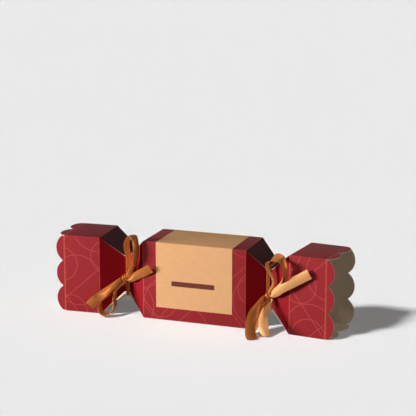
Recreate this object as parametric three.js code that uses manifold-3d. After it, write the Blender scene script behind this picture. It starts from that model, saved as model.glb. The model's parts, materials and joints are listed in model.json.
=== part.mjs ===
// A gift carton in the shape of a wrapped cracker. A rectangular tube of printed board is
// pinched at two necks, each tied with a satin bow, and has creased scalloped flaps round
// both open ends. A kraft paper label wraps the middle and a filled pouch lies inside.
//
// Millimetres. X runs along the carton, Y away from the viewer and Z up. The origin is on
// the surface that the carton stands on, below the middle of the main box.
import * as THREE from "three";
import { ConvexGeometry } from "three/addons/geometries/ConvexGeometry.js";
import { mergeVertices } from "three/addons/utils/BufferGeometryUtils.js";
import Module from "manifold-3d";

const wasm = await Module();
wasm.setup();

// Board blank
const boardThickness = 0.5;
const creaseGap = 0.3;

// Main box
const bodyLength = 109;
const bodyDepth = 56;
const bodyHeight = 80.5;

// Necks: tapers run down to a band of narrow strips and up again to the end section. The
// raw edges of the cut-outs at the corners meet at the box and stand apart at the neck.
const neckDepth = 37;
const neckHeight = 42;
const innerTaperRun = 18.5;
const neckStripWidth = 6;
const outerTaperRun = 25;
const slitAtBox = 0.35;
const slitAtNeckTop = 0.8;
const slitAtNeckBottom = 3.5;

// End sections, each turned toward the viewer on its neck
const endLength = 37.5;
const leftTurn = 3.7;
const rightTurn = -6.7;
const swingBack = 5; // away from the viewer, which opens the neck's edge most

// Scalloped flaps
const scallopDepth = 8.5;
const notchDepth = 1.5;
const scallopsOnSide = 3;
const scallopsOnTop = 2;
const sideFlapRelief = 0.9;
const topFlapRelief = 1;
const scallopArcSteps = 14;

// Glue flaps
const glueFlapHeight = 14;
const glueFlapSlant = 5;
const glueFlapMargin = 1.5;
const glueLine = 0.3;

// Label
const labelWidth = 81;
const labelThickness = 0.2;
const labelLowEdge = 13;

// Pouch
const pouchLength = 98;
const pouchDepth = 46;
const pouchHeight = 64;
const pouchSealRise = 9; // the seals stand lower than the pillow's crown by this much
const pouchSealThickness = 1.2;
const pouchShoulder = 27; // the pillow swells to its full section over this length
const pouchFlattening = 0.8; // under 1 squares off the pillow's round section
const pouchClearance = 0.3;
const pouchRounds = 24;
const pouchStations = 14;

// Ribbon
const ribbonWidth = 10;
const ribbonThickness = 0.6;
const bunchedWidth = 3.2;
const bunchedThickness = 1.3;
const ribbonStepsPerPoint = 5;
const floorGap = 0.3;

// Knotted bands
const bandWidth = 3.6;
const bandThickness = 0.8;
const bandGap = 0.4;
const bandArcSteps = 4;
const knotWidth = 8;
const knotDepth = 6.5;
const knotHeight = 7.5;
const knotSeat = 0.4; // the knot is drawn this deep into the band
const knotGap = 0.3;
const knotRounds = 12;
const leftKnotDrop = 1.75; // below the middle of the neck
const rightKnotDrop = 4.75;
const rightKnotShift = 1.8;

// Worked out
const halfBody = bodyLength / 2;
const neckIn = halfBody + innerTaperRun;
const neckOut = neckIn + neckStripWidth;
const neckCentre = (neckIn + neckOut) / 2;
const endStart = neckOut + outerTaperRun;
const halfCrease = creaseGap / 2;
const closingStep = boardThickness + creaseGap; // front and back flaps close over the others
const swingRoom = (neckDepth / 2) * Math.sin(THREE.MathUtils.degToRad(swingBack)) + creaseGap;
const knotFront = neckDepth / 2 + bandGap + bandThickness + knotDepth / 2 - knotSeat;

const finish = (color, roughness, metalness = 0) =>
  new THREE.MeshStandardMaterial({ color, roughness, metalness });
const printedBoard = () => finish(0xa5262f, 0.62);
const kraftPaper = () => finish(0xe0ad74, 0.85);
const satin = () => finish(0xc9813f, 0.35, 0.15);
const pouchFilm = () => finish(0xd9c7a6, 0.4);

// The corners of the tube that each side lies between, as signs of Y and Z
const sides = {
  front: [[-1, -1], [-1, 1]],
  back: [[1, -1], [1, 1]],
  top: [[-1, 1], [1, 1]],
  bottom: [[-1, -1], [1, -1]],
};
const isUpright = (side) => side === "front" || side === "back";
const upward = new THREE.Vector3(0, 0, 1);

const cracker = new THREE.Group();

function addMesh(group, name, geometry, material) {
  const mesh = new THREE.Mesh(geometry, material);
  mesh.name = name;
  group.add(mesh);
}

// A cross-section of the tube: its place along the carton, its size, and how far its
// upright sides stop short of its corners. Every section shares one middle height.
const section = (x, depth, height, slitTop, slitBottom) => {
  const low = (bodyHeight - height) / 2;
  return { x, halfDepth: depth / 2, low, high: low + height, slitTop, slitBottom };
};
const boxSection = (x) => section(x, bodyDepth, bodyHeight, slitAtBox, slitAtBox);
const neckSection = (x) => section(x, neckDepth, neckHeight, slitAtNeckTop, slitAtNeckBottom);

// One board panel between two sections, mitred along the tube's corners
function boardPanel(side, from, to, { turnFar = (point) => point, tip = [] } = {}) {
  const run = Math.abs(to.x - from.x);
  const perDepth = Math.hypot(run, to.halfDepth - from.halfDepth) / run;
  const perHeight = Math.hypot(run, to.high - from.high) / run;
  const cornersOf = (s) =>
    sides[side].flatMap(([signY, signZ]) =>
      [0, boardThickness].map((inset) => {
        const slit = signZ > 0 ? s.slitTop : s.slitBottom;
        const edge = signZ > 0 ? s.high : s.low;
        const y = signY * (s.halfDepth - inset * perDepth);
        const z = edge - signZ * (inset * perHeight + (isUpright(side) ? slit : 0));
        return new THREE.Vector3(s.x, y, z);
      }),
    );
  return new ConvexGeometry([...cornersOf(from), ...cornersOf(to).map(turnFar), ...tip]);
}

// A trapezoid of board that is glued flat inside the back panel, along its foot
function glueFlap(length) {
  const half = length / 2 - glueFlapMargin;
  const outline = new THREE.Shape();
  outline.moveTo(-half, 0);
  outline.lineTo(half, 0);
  outline.lineTo(half - glueFlapSlant, glueFlapHeight);
  outline.lineTo(-half + glueFlapSlant, glueFlapHeight);
  outline.closePath();
  const geometry = new THREE.ExtrudeGeometry(outline, { depth: boardThickness, bevelEnabled: false });
  geometry.rotateX(Math.PI / 2);
  geometry.translate(0, bodyDepth / 2 - boardThickness - glueLine, boardThickness + glueLine);
  return geometry;
}

// The four panels of the main box and the flap that closes them into a tube
function mainBox() {
  const from = boxSection(-halfBody + halfCrease);
  const to = boxSection(halfBody - halfCrease);
  for (const side of Object.keys(sides)) {
    addMesh(cracker, `main_${side}_panel`, boardPanel(side, from, to), printedBoard());
  }
  addMesh(cracker, "main_glue_flap", glueFlap(bodyLength), printedBoard());
}

// A strip of paper over the front, the top and the back
function wrapLabel() {
  const inner = bodyDepth / 2;
  const outer = inner + labelThickness;
  const top = bodyHeight + labelThickness;
  const outline = new THREE.Shape();
  outline.moveTo(-outer, labelLowEdge);
  outline.lineTo(-inner, labelLowEdge);
  outline.lineTo(-inner, bodyHeight);
  outline.lineTo(inner, bodyHeight);
  outline.lineTo(inner, labelLowEdge);
  outline.lineTo(outer, labelLowEdge);
  outline.lineTo(outer, top);
  outline.lineTo(-outer, top);
  outline.closePath();
  const geometry = new THREE.ExtrudeGeometry(outline, { depth: labelWidth, bevelEnabled: false });
  geometry.rotateX(Math.PI / 2);
  geometry.rotateZ(Math.PI / 2);
  geometry.translate(-labelWidth / 2, 0, 0);
  addMesh(cracker, "wrap_label", geometry, kraftPaper());
}

// A closed mesh through rings of points, with flat ends. Seen along the way that the rings
// follow each other, each ring runs clockwise.
function loftRings(positions, corners) {
  const rings = positions.length / 3 / corners;
  const at = (ring, k) => ring * corners + (k % corners);
  const index = [];
  for (let i = 0; i + 1 < rings; i += 1) {
    for (let k = 0; k < corners; k += 1) {
      index.push(at(i, k), at(i, k + 1), at(i + 1, k + 1));
      index.push(at(i, k), at(i + 1, k + 1), at(i + 1, k));
    }
  }
  for (let k = 1; k + 1 < corners; k += 1) {
    index.push(at(0, 0), at(0, k + 1), at(0, k));
    index.push(at(rings - 1, 0), at(rings - 1, k), at(rings - 1, k + 1));
  }
  const geometry = new THREE.BufferGeometry();
  geometry.setAttribute("position", new THREE.Float32BufferAttribute(positions, 3));
  geometry.setIndex(index);
  return geometry;
}

// A pillow that swells from one flat seal to the other and lies on the bottom panel
function treatPouch() {
  const halfLength = Math.min(pouchLength / 2, halfBody - pouchClearance);
  const roomBehind = bodyDepth / 2 - 2 * (boardThickness + glueLine) - pouchClearance;
  const halfDepth = Math.min(pouchDepth / 2, roomBehind);
  const height = Math.min(pouchHeight, bodyHeight - 2 * boardThickness - pouchClearance);
  const positions = [];
  for (let i = 0; i <= pouchStations; i += 1) {
    const x = halfLength * (-1 + (2 * i) / pouchStations);
    const fromSeal = Math.min(1, (halfLength - Math.abs(x)) / pouchShoulder);
    const swell = Math.sqrt(1 - (1 - fromSeal) ** 2);
    const depthHere = Math.max(pouchSealThickness / 2, halfDepth * swell);
    const heightHere = height - pouchSealRise * (1 - swell);
    for (let k = 0; k < pouchRounds; k += 1) {
      const angle = (2 * Math.PI * k) / pouchRounds;
      const rise = Math.sign(Math.sin(angle)) * Math.abs(Math.sin(angle)) ** pouchFlattening;
      positions.push(x, depthHere * Math.cos(angle), boardThickness + (heightHere / 2) * (1 + rise));
    }
  }
  addMesh(cracker, "treat_pouch", loftRings(positions, pouchRounds), pouchFilm());
}

// One scalloped flap, flat in its panel's plane. Its crease lies along the outline's
// horizontal axis and its scallops point up; arcs of one radius meet in the notches.
function scallopFlap(width, count, relief) {
  const chord = width / count;
  const rise = scallopDepth - notchDepth;
  const radius = (chord * chord / 4 + rise * rise) / (2 * rise);
  const centreHeight = scallopDepth - radius;
  const half = width / 2 - relief;
  const outline = new THREE.Shape();
  outline.moveTo(-half, creaseGap);
  outline.lineTo(half, creaseGap);
  for (let i = count - 1; i >= 0; i -= 1) {
    const centre = -width / 2 + chord * (i + 0.5);
    const angleAt = (u) => Math.acos((u - centre) / radius);
    const right = angleAt(Math.min(centre + chord / 2, half));
    const left = angleAt(Math.max(centre - chord / 2, -half));
    outline.lineTo(centre + radius * Math.cos(right), centreHeight + radius * Math.sin(right));
    outline.absarc(centre, centreHeight, radius, right, left, false);
  }
  outline.closePath();
  return new THREE.ExtrudeGeometry(outline, {
    depth: boardThickness,
    bevelEnabled: false,
    curveSegments: scallopArcSteps,
  });
}

// The flap of one side, laid in its panel's plane at the mouth of an end section
function mouthFlap(side, sign, edge) {
  const across = isUpright(side) ? bodyHeight : bodyDepth;
  const count = isUpright(side) ? scallopsOnSide : scallopsOnTop;
  const relief = isUpright(side) ? sideFlapRelief : topFlapRelief;
  const geometry = scallopFlap(across, count, relief);
  if (isUpright(side)) geometry.rotateX(Math.PI / 2).rotateY(Math.PI / 2);
  else geometry.rotateZ(-Math.PI / 2);
  if (sign < 0) geometry.rotateZ(Math.PI);
  geometry.computeBoundingBox();
  const box = geometry.boundingBox;
  const y = { front: -bodyDepth / 2 - box.min.y, back: bodyDepth / 2 - box.max.y }[side] ?? 0;
  const z = { top: bodyHeight - box.max.z, bottom: -box.min.z }[side] ?? bodyHeight / 2;
  return geometry.translate(edge, y, z);
}

// The strips above and below the neck come to a blunt point in their middle, where the end
// section hardly moves along the carton as it swings
function stripTip(side, sign) {
  if (isUpright(side)) return [];
  const outward = side === "top" ? 1 : -1;
  return [0, boardThickness].map((inset) => {
    const z = bodyHeight / 2 + outward * (neckHeight / 2 - inset);
    return new THREE.Vector3(sign * (neckOut - creaseGap), 0, z);
  });
}

// One neck and end section. The tapers beside the main box and the neck strips stay with
// the box, and the tapers beyond them swing with the end section.
function neckAndEnd(hand, sign, turn) {
  const pivot = new THREE.Vector3(sign * neckCentre, 0, 0);
  const angle = THREE.MathUtils.degToRad(turn);
  const swung = (point) => point.sub(pivot).applyAxisAngle(upward, angle).add(pivot);
  const end = new THREE.Group();
  end.position.copy(pivot);
  end.rotation.z = angle;
  cracker.add(end);
  const crease = sign * (endStart - neckCentre);
  const mouth = crease + sign * endLength;

  for (const side of Object.keys(sides)) {
    const boxEdge = boxSection(sign * (halfBody + halfCrease));
    const inner = boardPanel(side, boxEdge, neckSection(sign * (neckIn - halfCrease)));
    addMesh(cracker, `${hand}_inner_taper_${side}`, inner, printedBoard());

    const stripEnd = neckSection(sign * (neckOut - swingRoom));
    const tip = stripTip(side, sign);
    const strip = boardPanel(side, neckSection(sign * (neckIn + halfCrease)), stripEnd, { tip });
    addMesh(cracker, `${hand}_neck_strip_${side}`, strip, printedBoard());

    const endEdge = boxSection(sign * (endStart - halfCrease));
    const outer = boardPanel(side, neckSection(sign * neckOut), endEdge, { turnFar: swung });
    addMesh(cracker, `${hand}_outer_taper_${side}`, outer, printedBoard());

    const edge = mouth + (isUpright(side) ? sign * closingStep : 0);
    const panel = boardPanel(side, boxSection(crease + sign * halfCrease), boxSection(edge));
    addMesh(end, `${hand}_end_${side}_panel`, panel, printedBoard());
    addMesh(end, `${hand}_flap_${side}`, mouthFlap(side, sign, edge), printedBoard());
  }
  const closing = glueFlap(endLength).translate((crease + mouth) / 2, 0, 0);
  addMesh(end, `${hand}_end_glue_flap`, closing, printedBoard());
}

function solidOf(geometry) {
  const bare = geometry.clone();
  bare.deleteAttribute("normal");
  bare.deleteAttribute("uv");
  const merged = mergeVertices(bare);
  return new wasm.Manifold(
    new wasm.Mesh({
      numProp: 3,
      vertProperties: merged.getAttribute("position").array,
      triVerts: new Uint32Array(merged.index.array),
    }),
  );
}

function geometryOf(solid) {
  const mesh = solid.getMesh();
  const geometry = new THREE.BufferGeometry();
  geometry.setAttribute("position", new THREE.Float32BufferAttribute(mesh.vertProperties, 3));
  geometry.setIndex(Array.from(mesh.triVerts));
  return geometry;
}

// The ribbon round a neck: a ring drawn up over the four neck strips
function neckBand(sign) {
  const roundedBox = (path, grow) => {
    const w = neckDepth / 2 + grow;
    const h = neckHeight / 2 + grow;
    path.moveTo(grow - w, -h);
    path.absarc(w - grow, grow - h, grow, -Math.PI / 2, 0, false);
    path.absarc(w - grow, h - grow, grow, 0, Math.PI / 2, false);
    path.absarc(grow - w, h - grow, grow, Math.PI / 2, Math.PI, false);
    path.absarc(grow - w, grow - h, grow, Math.PI, 1.5 * Math.PI, false);
    return path;
  };
  const outline = roundedBox(new THREE.Shape(), bandGap + bandThickness);
  outline.holes.push(roundedBox(new THREE.Path(), bandGap));
  const geometry = new THREE.ExtrudeGeometry(outline, {
    depth: bandWidth,
    bevelEnabled: false,
    curveSegments: bandArcSteps,
  });
  geometry.rotateX(Math.PI / 2);
  geometry.rotateZ(Math.PI / 2);
  const from = neckIn + bandGap;
  return geometry.translate(sign > 0 ? from : -from - bandWidth, 0, bodyHeight / 2);
}

function knotBall(place, grow = 0) {
  const ball = new THREE.SphereGeometry(1, knotRounds, knotRounds / 2);
  ball.rotateX(Math.PI / 2);
  ball.scale(knotWidth / 2 + grow, knotDepth / 2 + grow, knotHeight / 2 + grow);
  return ball.translate(place.x, place.y, place.z);
}

// A point on a strand's route: where its middle lies beside the knot, the direction across
// the ribbon there, and how wide it lies. Points below the knot give their height as a
// share of the knot's own height, so a strand that reaches the floor always does.
const beside = (x, y, z, across, width) => ({ x, y, z, across, width });
const hanging = (x, y, share, across, width) => ({ x, y, share, across, width });

// Directions across the ribbon
const away = [0.24, 0.97, 0];
const awayAndUp = [0.1, 0.8, 0.6];
const level = [0.94, 0.34, 0];
const levelOut = [0.9, -0.35, 0];
const forward = [0.3, -0.95, 0];
const levelDown = [0.84, 0.18, -0.49];
const steepUp = [-0.46, 0.05, 0.88];
const nearlyUp = [-0.29, 0.12, 0.93];
const awayAndDown = [0.22, 0.53, -0.82];

// A strand of ribbon along its route. It thickens where it is drawn together.
function ribbonStrand(knot, route) {
  const lowest = floorGap + ribbonThickness / 2;
  const middles = route.map((p) => {
    const z = p.share === undefined ? knot.z + p.z : Math.max(lowest, p.share * knot.z);
    return new THREE.Vector3(knot.x + p.x, knot.y + p.y, z);
  });
  const curve = new THREE.CatmullRomCurve3(middles, false, "centripetal");
  const steps = (route.length - 1) * ribbonStepsPerPoint;
  const positions = [];
  for (let i = 0; i <= steps; i += 1) {
    const first = Math.min(Math.floor(i / ribbonStepsPerPoint), route.length - 2);
    const part = i / ribbonStepsPerPoint - first;
    const [here, next] = [route[first], route[first + 1]];
    const middle = curve.getPoint(i / steps);
    const tangent = curve.getTangent(i / steps);
    const across = new THREE.Vector3(...here.across).lerp(new THREE.Vector3(...next.across), part);
    across.addScaledVector(tangent, -across.dot(tangent)).normalize();
    const facing = new THREE.Vector3().crossVectors(tangent, across);
    const width = THREE.MathUtils.lerp(here.width, next.width, part);
    const drawn = THREE.MathUtils.smoothstep(ribbonWidth - width, 0, ribbonWidth - bunchedWidth);
    const thickness = THREE.MathUtils.lerp(ribbonThickness, bunchedThickness, drawn);
    for (const [u, v] of [[-1, -1], [1, -1], [1, 1], [-1, 1]]) {
      const corner = middle.clone();
      corner.addScaledVector(across, (u * width) / 2);
      corner.addScaledVector(facing, (v * thickness) / 2);
      positions.push(...corner.toArray());
    }
  }
  return loftRings(positions, 4);
}

// A band with its knot, and the strands that leave the knot, each cut clear of it
function tiedBow(hand, sign, shift, drop, routes) {
  const knot = new THREE.Vector3(sign * neckCentre + shift, -knotFront, bodyHeight / 2 - drop);
  const tied = solidOf(neckBand(sign)).add(solidOf(knotBall(knot)));
  addMesh(cracker, `${hand}_knotted_band`, geometryOf(tied), satin());
  const clear = solidOf(knotBall(knot, knotGap));
  for (const [name, route] of Object.entries(routes)) {
    const strand = solidOf(ribbonStrand(knot, route)).subtract(clear);
    addMesh(cracker, `${hand}_bow_${name}`, geometryOf(strand), satin());
  }
}

mainBox();
wrapLabel();
treatPouch();
neckAndEnd("left", -1, leftTurn);
neckAndEnd("right", 1, rightTurn);

tiedBow("left", -1, 0, leftKnotDrop, {
  upper_loop: [
    beside(0.9, -0.2, 2.8, away, 2.8),
    beside(2.8, -1, 5.4, away, 3),
    beside(6, -2.3, 13.8, away, 5),
    beside(3.1, -2.8, 27.4, away, 9),
    beside(2.5, -3.2, 37.9, away, 10),
    beside(7.3, -5.3, 46.3, away, 10),
    beside(12.7, -7.6, 46.6, away, 10),
    beside(15.4, -8.6, 38.2, away, 10),
    beside(15.5, -8.6, 26.7, away, 10),
    beside(12.3, -7.2, 14.5, away, 8),
    beside(7.6, -5.2, 6.7, away, 4),
    beside(5.4, -4, 3.6, away, 3),
    beside(2.4, -1.6, 1.2, away, 2.8),
  ],
  lower_loop: [
    hanging(-1.6, 0, 0.94, forward, 2.8),
    hanging(-3.6, -0.8, 0.875, forward, 3),
    hanging(-7.6, -3.8, 0.75, forward, 5),
    hanging(-13.5, -7.1, 0.57, levelOut, 7),
    hanging(-20, -12, 0.41, levelOut, 9),
    hanging(-24, -14.5, 0.26, levelOut, 10),
    hanging(-21.5, -17, 0.11, forward, 10),
    hanging(-16, -17.5, 0, forward, 10),
    hanging(-10.4, -15.2, 0.12, forward, 10),
    hanging(-8, -11.2, 0.31, forward, 9),
    hanging(-9.5, -7, 0.53, forward, 8),
    hanging(-5, -4, 0.72, forward, 5),
    hanging(0.2, -1.6, 0.85, forward, 3),
    hanging(0.4, -0.8, 0.93, forward, 2.8),
  ],
  tail_left: [
    beside(-2.6, -1.4, 0.8, awayAndDown, 2.8),
    beside(-4.6, -2.9, -0.6, awayAndDown, 3.2),
    beside(-10.8, -8.2, -6.8, awayAndDown, 7),
    beside(-18.7, -13.2, -13.6, awayAndDown, 10),
    beside(-26, -17.2, -20.7, awayAndDown, 10),
    beside(-32.5, -19.2, -27.4, awayAndDown, 10),
  ],
  tail_right: [
    beside(2.4, -1.5, -1.5, nearlyUp, 2.8),
    beside(5.6, -3.4, -0.6, nearlyUp, 3.2),
    beside(14.4, -7.2, 4.9, nearlyUp, 8),
    beside(23.3, -10.2, 10.2, nearlyUp, 10),
    beside(32, -11.2, 15.4, nearlyUp, 10),
  ],
});

tiedBow("right", 1, rightKnotShift, rightKnotDrop, {
  upper_loop: [
    beside(1.9, -0.3, 2.6, away, 2.8),
    beside(4.3, -1.6, 5.4, away, 3),
    beside(12.3, -7.5, 13.6, away, 5),
    beside(18.5, -13.5, 22.9, away, 7),
    beside(18.9, -15, 34.4, away, 9),
    beside(14.8, -13.5, 41.2, awayAndUp, 10),
    beside(8, -9.6, 41.3, awayAndUp, 10),
    beside(0.5, -5.2, 35.3, away, 9),
    beside(-0.9, -4, 28.7, away, 6),
    beside(3.3, -3.5, 21.9, away, 4),
    beside(5.3, -3, 13.8, away, 3),
    beside(1.6, -2, 6.1, away, 3),
    beside(0, -0.8, 2.8, away, 2.8),
  ],
  lower_loop: [
    beside(-2.4, -0.8, -0.9, levelDown, 2.8),
    beside(-4.8, -2, -1.8, levelDown, 3.2),
    hanging(-7.6, -10.2, 0.78, levelDown, 7),
    hanging(-10.5, -19.2, 0.58, levelDown, 10),
    hanging(-10.9, -27.2, 0.33, level, 10),
    hanging(-7.7, -35.2, 0.12, level, 10),
    hanging(-5.1, -39.5, 0.03, level, 10),
    hanging(-6, -34.2, 0, level, 10),
    hanging(-9, -21.2, 0.2, level, 10),
    hanging(-7.5, -11.2, 0.47, level, 8),
    hanging(-1.4, -1.7, 0.84, level, 3),
    hanging(-1.2, -0.9, 0.93, level, 2.8),
  ],
  tail_left: [
    hanging(2.3, -0.9, 0.94, level, 2.8),
    hanging(3.4, -1.9, 0.85, level, 3),
    hanging(0.2, -8.2, 0.69, level, 7),
    hanging(-1.6, -15.2, 0.46, level, 10),
    hanging(0.8, -21.2, 0.23, level, 10),
    hanging(3.1, -25.2, 0, level, 10),
  ],
  tail_right: [
    beside(1.9, -2, -0.2, steepUp, 2.8),
    beside(4.4, -5, 1.3, steepUp, 3.2),
    beside(8.6, -8.4, 5, steepUp, 5),
    beside(17.3, -15.4, 12.6, steepUp, 9),
    beside(26.1, -18.4, 18.4, steepUp, 10),
    beside(36.4, -19.8, 24.6, steepUp, 10),
    beside(47, -20.8, 30.9, steepUp, 10),
  ],
});

export default cracker;
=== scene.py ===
"""Looks for the cracker-shaped gift carton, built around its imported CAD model.

The carton is a printed board tube that is pinched at two necks, with a satin bow tied round
each neck, scalloped flaps round both open ends, a kraft paper label over the middle and a
filled pouch inside. Everything is in metres, in the frame of the CAD model.
"""

import json
import logging
import math
from collections.abc import Callable, Iterator
from contextlib import contextmanager
from dataclasses import KW_ONLY, dataclass, field
from enum import Enum
from functools import partial, reduce
from itertools import chain, pairwise

import bmesh
import bpy
from mathutils import Matrix, Vector


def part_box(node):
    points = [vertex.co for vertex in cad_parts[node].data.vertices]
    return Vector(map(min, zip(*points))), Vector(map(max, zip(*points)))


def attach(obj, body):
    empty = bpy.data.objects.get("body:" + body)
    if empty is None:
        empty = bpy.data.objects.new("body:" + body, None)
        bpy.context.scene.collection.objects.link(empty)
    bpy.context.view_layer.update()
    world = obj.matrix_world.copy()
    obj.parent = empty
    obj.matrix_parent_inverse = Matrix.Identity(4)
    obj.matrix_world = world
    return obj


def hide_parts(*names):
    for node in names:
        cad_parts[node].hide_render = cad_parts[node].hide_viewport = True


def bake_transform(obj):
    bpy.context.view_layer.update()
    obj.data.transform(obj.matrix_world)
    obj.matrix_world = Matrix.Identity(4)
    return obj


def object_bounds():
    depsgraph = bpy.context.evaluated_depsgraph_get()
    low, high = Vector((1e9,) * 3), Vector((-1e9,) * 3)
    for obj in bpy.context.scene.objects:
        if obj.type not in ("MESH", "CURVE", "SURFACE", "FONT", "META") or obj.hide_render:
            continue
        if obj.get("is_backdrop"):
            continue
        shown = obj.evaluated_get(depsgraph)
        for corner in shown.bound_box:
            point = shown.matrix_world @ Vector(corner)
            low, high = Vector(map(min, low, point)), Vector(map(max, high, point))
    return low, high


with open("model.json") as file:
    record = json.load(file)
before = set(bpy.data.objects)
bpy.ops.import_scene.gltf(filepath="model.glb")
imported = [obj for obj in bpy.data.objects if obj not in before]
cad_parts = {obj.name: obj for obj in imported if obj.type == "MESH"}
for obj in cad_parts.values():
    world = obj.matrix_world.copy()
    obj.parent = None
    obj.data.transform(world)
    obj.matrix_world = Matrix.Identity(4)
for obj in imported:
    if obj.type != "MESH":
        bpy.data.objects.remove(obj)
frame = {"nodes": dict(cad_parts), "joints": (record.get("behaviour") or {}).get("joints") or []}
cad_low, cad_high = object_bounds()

Object = bpy.types.Object
Material = bpy.types.Material
Socket = bpy.types.NodeSocket
Colour = tuple[float, float, float, float]
Values = tuple[float, ...]

MILLIMETRE = 0.001
# Corners nearer to each other than this are one.
HAIR = 0.01 * MILLIMETRE
# A face whose normal has this much of an axis faces along it.
FACING = 0.9
# Panels that meet at more than this are folded.
FOLD_ANGLE = math.radians(5)

log = logging.getLogger("gift_carton")


class Part(Enum):
    """What is picked on a mesh in edit mode."""

    CORNERS = "VERT"
    EDGES = "EDGE"
    FACES = "FACE"


class Stuff(Enum):
    """What a piece is made of, with the sharpest edge in degrees that its shading rounds."""

    BOARD = 28
    CLOTH = 60


class Side(Enum):
    """A side of the carton, with the direction that it faces."""

    FRONT = (0, -1, 0)
    BACK = (0, 1, 0)
    TOP = (0, 0, 1)
    BOTTOM = (0, 0, -1)

    @property
    def outward(self) -> Vector:
        """The direction that the side faces."""
        return Vector(self.value)

    @property
    def upright(self) -> bool:
        """Whether the side stands upright."""
        return self in (Side.FRONT, Side.BACK)

    @property
    def word(self) -> str:
        """The side's name in the CAD model's node names."""
        return self.name.lower()

    @staticmethod
    def facing(normal: Vector) -> "Side":
        """The side nearest to the way that a face of the straight carton faces."""
        across = Vector((0, normal.y, normal.z))
        return max(Side, key=lambda side: side.outward.dot(across))


class Hand(Enum):
    """An end of the carton, with its sign along X."""

    LEFT = -1
    RIGHT = 1

    @property
    def word(self) -> str:
        """The end's name in the CAD model's node names."""
        return self.name.lower()


# Working on meshes


def set_down_all() -> None:
    """Deselect every object, out of edit mode."""
    if bpy.context.object and bpy.context.object.mode != "OBJECT":
        bpy.ops.object.mode_set(mode="OBJECT")
    bpy.ops.object.select_all(action="DESELECT")


def take_up(*objects: Object) -> None:
    """Make some objects the only ones selected.

    Args:
        objects: The objects, with the one to make active first.
    """
    set_down_all()
    for obj in objects:
        obj.select_set(True)
    bpy.context.view_layer.objects.active = objects[0]


@contextmanager
def shaping(obj: Object) -> Iterator[None]:
    """Keep an object in edit mode while the block runs.

    Args:
        obj: The mesh object to shape.
    """
    take_up(obj)
    bpy.ops.object.mode_set(mode="EDIT")
    yield
    bpy.ops.object.mode_set(mode="OBJECT")


@contextmanager
def mesh_in_hand() -> Iterator[bmesh.types.BMesh]:
    """Give the block the mesh that is in edit mode, and take its changes over.

    Yields:
        The mesh.
    """
    data = bpy.context.edit_object.data
    mesh = bmesh.from_edit_mesh(data)
    yield mesh
    bmesh.update_edit_mesh(data)


def pick(part: Part, wanted: Callable[..., bool] = lambda element: True) -> None:
    """Select the parts of the mesh in edit mode that pass a test.

    Args:
        part: What to select.
        wanted: The test of one corner, edge or face.
    """
    bpy.ops.mesh.select_mode(type=part.value)
    bpy.ops.mesh.select_all(action="DESELECT")
    with mesh_in_hand() as mesh:
        elements = {Part.CORNERS: mesh.verts, Part.EDGES: mesh.edges, Part.FACES: mesh.faces}[part]
        for element in [element for element in elements if wanted(element)]:
            element.select_set(True)
        mesh.select_flush_mode()


def at(edge: bmesh.types.BMEdge, place: float) -> bool:
    """Whether an edge lies at a place along X."""
    return all(abs(corner.co.x - place) < HAIR for corner in edge.verts)


def draw_out(x: float = 0, y: float = 0, z: float = 0) -> None:
    """Carry the mesh on from its selected edges."""
    bpy.ops.mesh.extrude_edges_move(TRANSFORM_OT_translate={"value": (x, y, z)})


def trim(place: Values, beyond: Values, cut: bool = True) -> None:
    """Score the whole mesh along a plane, and cut away what lies beyond it."""
    pick(Part.FACES)
    bpy.ops.mesh.bisect(plane_co=place, plane_no=beyond, clear_outer=cut)


def fresh(name: str) -> Object:
    """Name the primitive that was just added and fix its size in its mesh.

    Args:
        name: The piece's name.

    Returns:
        The piece, at the origin, unturned and unscaled.
    """
    obj = bpy.context.object
    obj.name = obj.data.name = name
    bpy.ops.object.transform_apply(location=True, rotation=True, scale=True)
    return obj


def settle(obj: Object, kind: str, **settings: object) -> None:
    """Add a modifier to an object and apply it.

    Args:
        obj: The object.
        kind: Blender's name of the modifier's type.
        settings: Values of the modifier's own settings.
    """
    take_up(obj)
    modifier = obj.modifiers.new(kind.title(), kind)
    for setting, value in settings.items():
        setattr(modifier, setting, value)
    bpy.ops.object.modifier_apply(modifier=modifier.name)


def smooth(obj: Object, stuff: Stuff) -> None:
    """Shade an object smooth, except over the edges that are sharp in such stuff."""
    take_up(obj)
    bpy.ops.object.shade_smooth_by_angle(angle=math.radians(stuff.value))


def dress(obj: Object, *finishes: Material) -> None:
    """Give an object its materials in order, in place of any that it has."""
    obj.data.materials.clear()
    for finish in finishes:
        obj.data.materials.append(finish)


def hand_over(obj: Object, replaced: list[str], body: str = "carton") -> None:
    """Hide the CAD nodes that a finished piece stands for, and log the piece.

    Args:
        obj: The piece.
        replaced: The CAD nodes that it stands for.
        body: What it rides on, for the log.
    """
    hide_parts(*replaced)
    size = obj.dimensions / MILLIMETRE
    log.info("%s on %s: %.1f x %.1f x %.1f mm, %d faces", obj.name, body, *size, len(obj.data.polygons))


# The board blank


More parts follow.
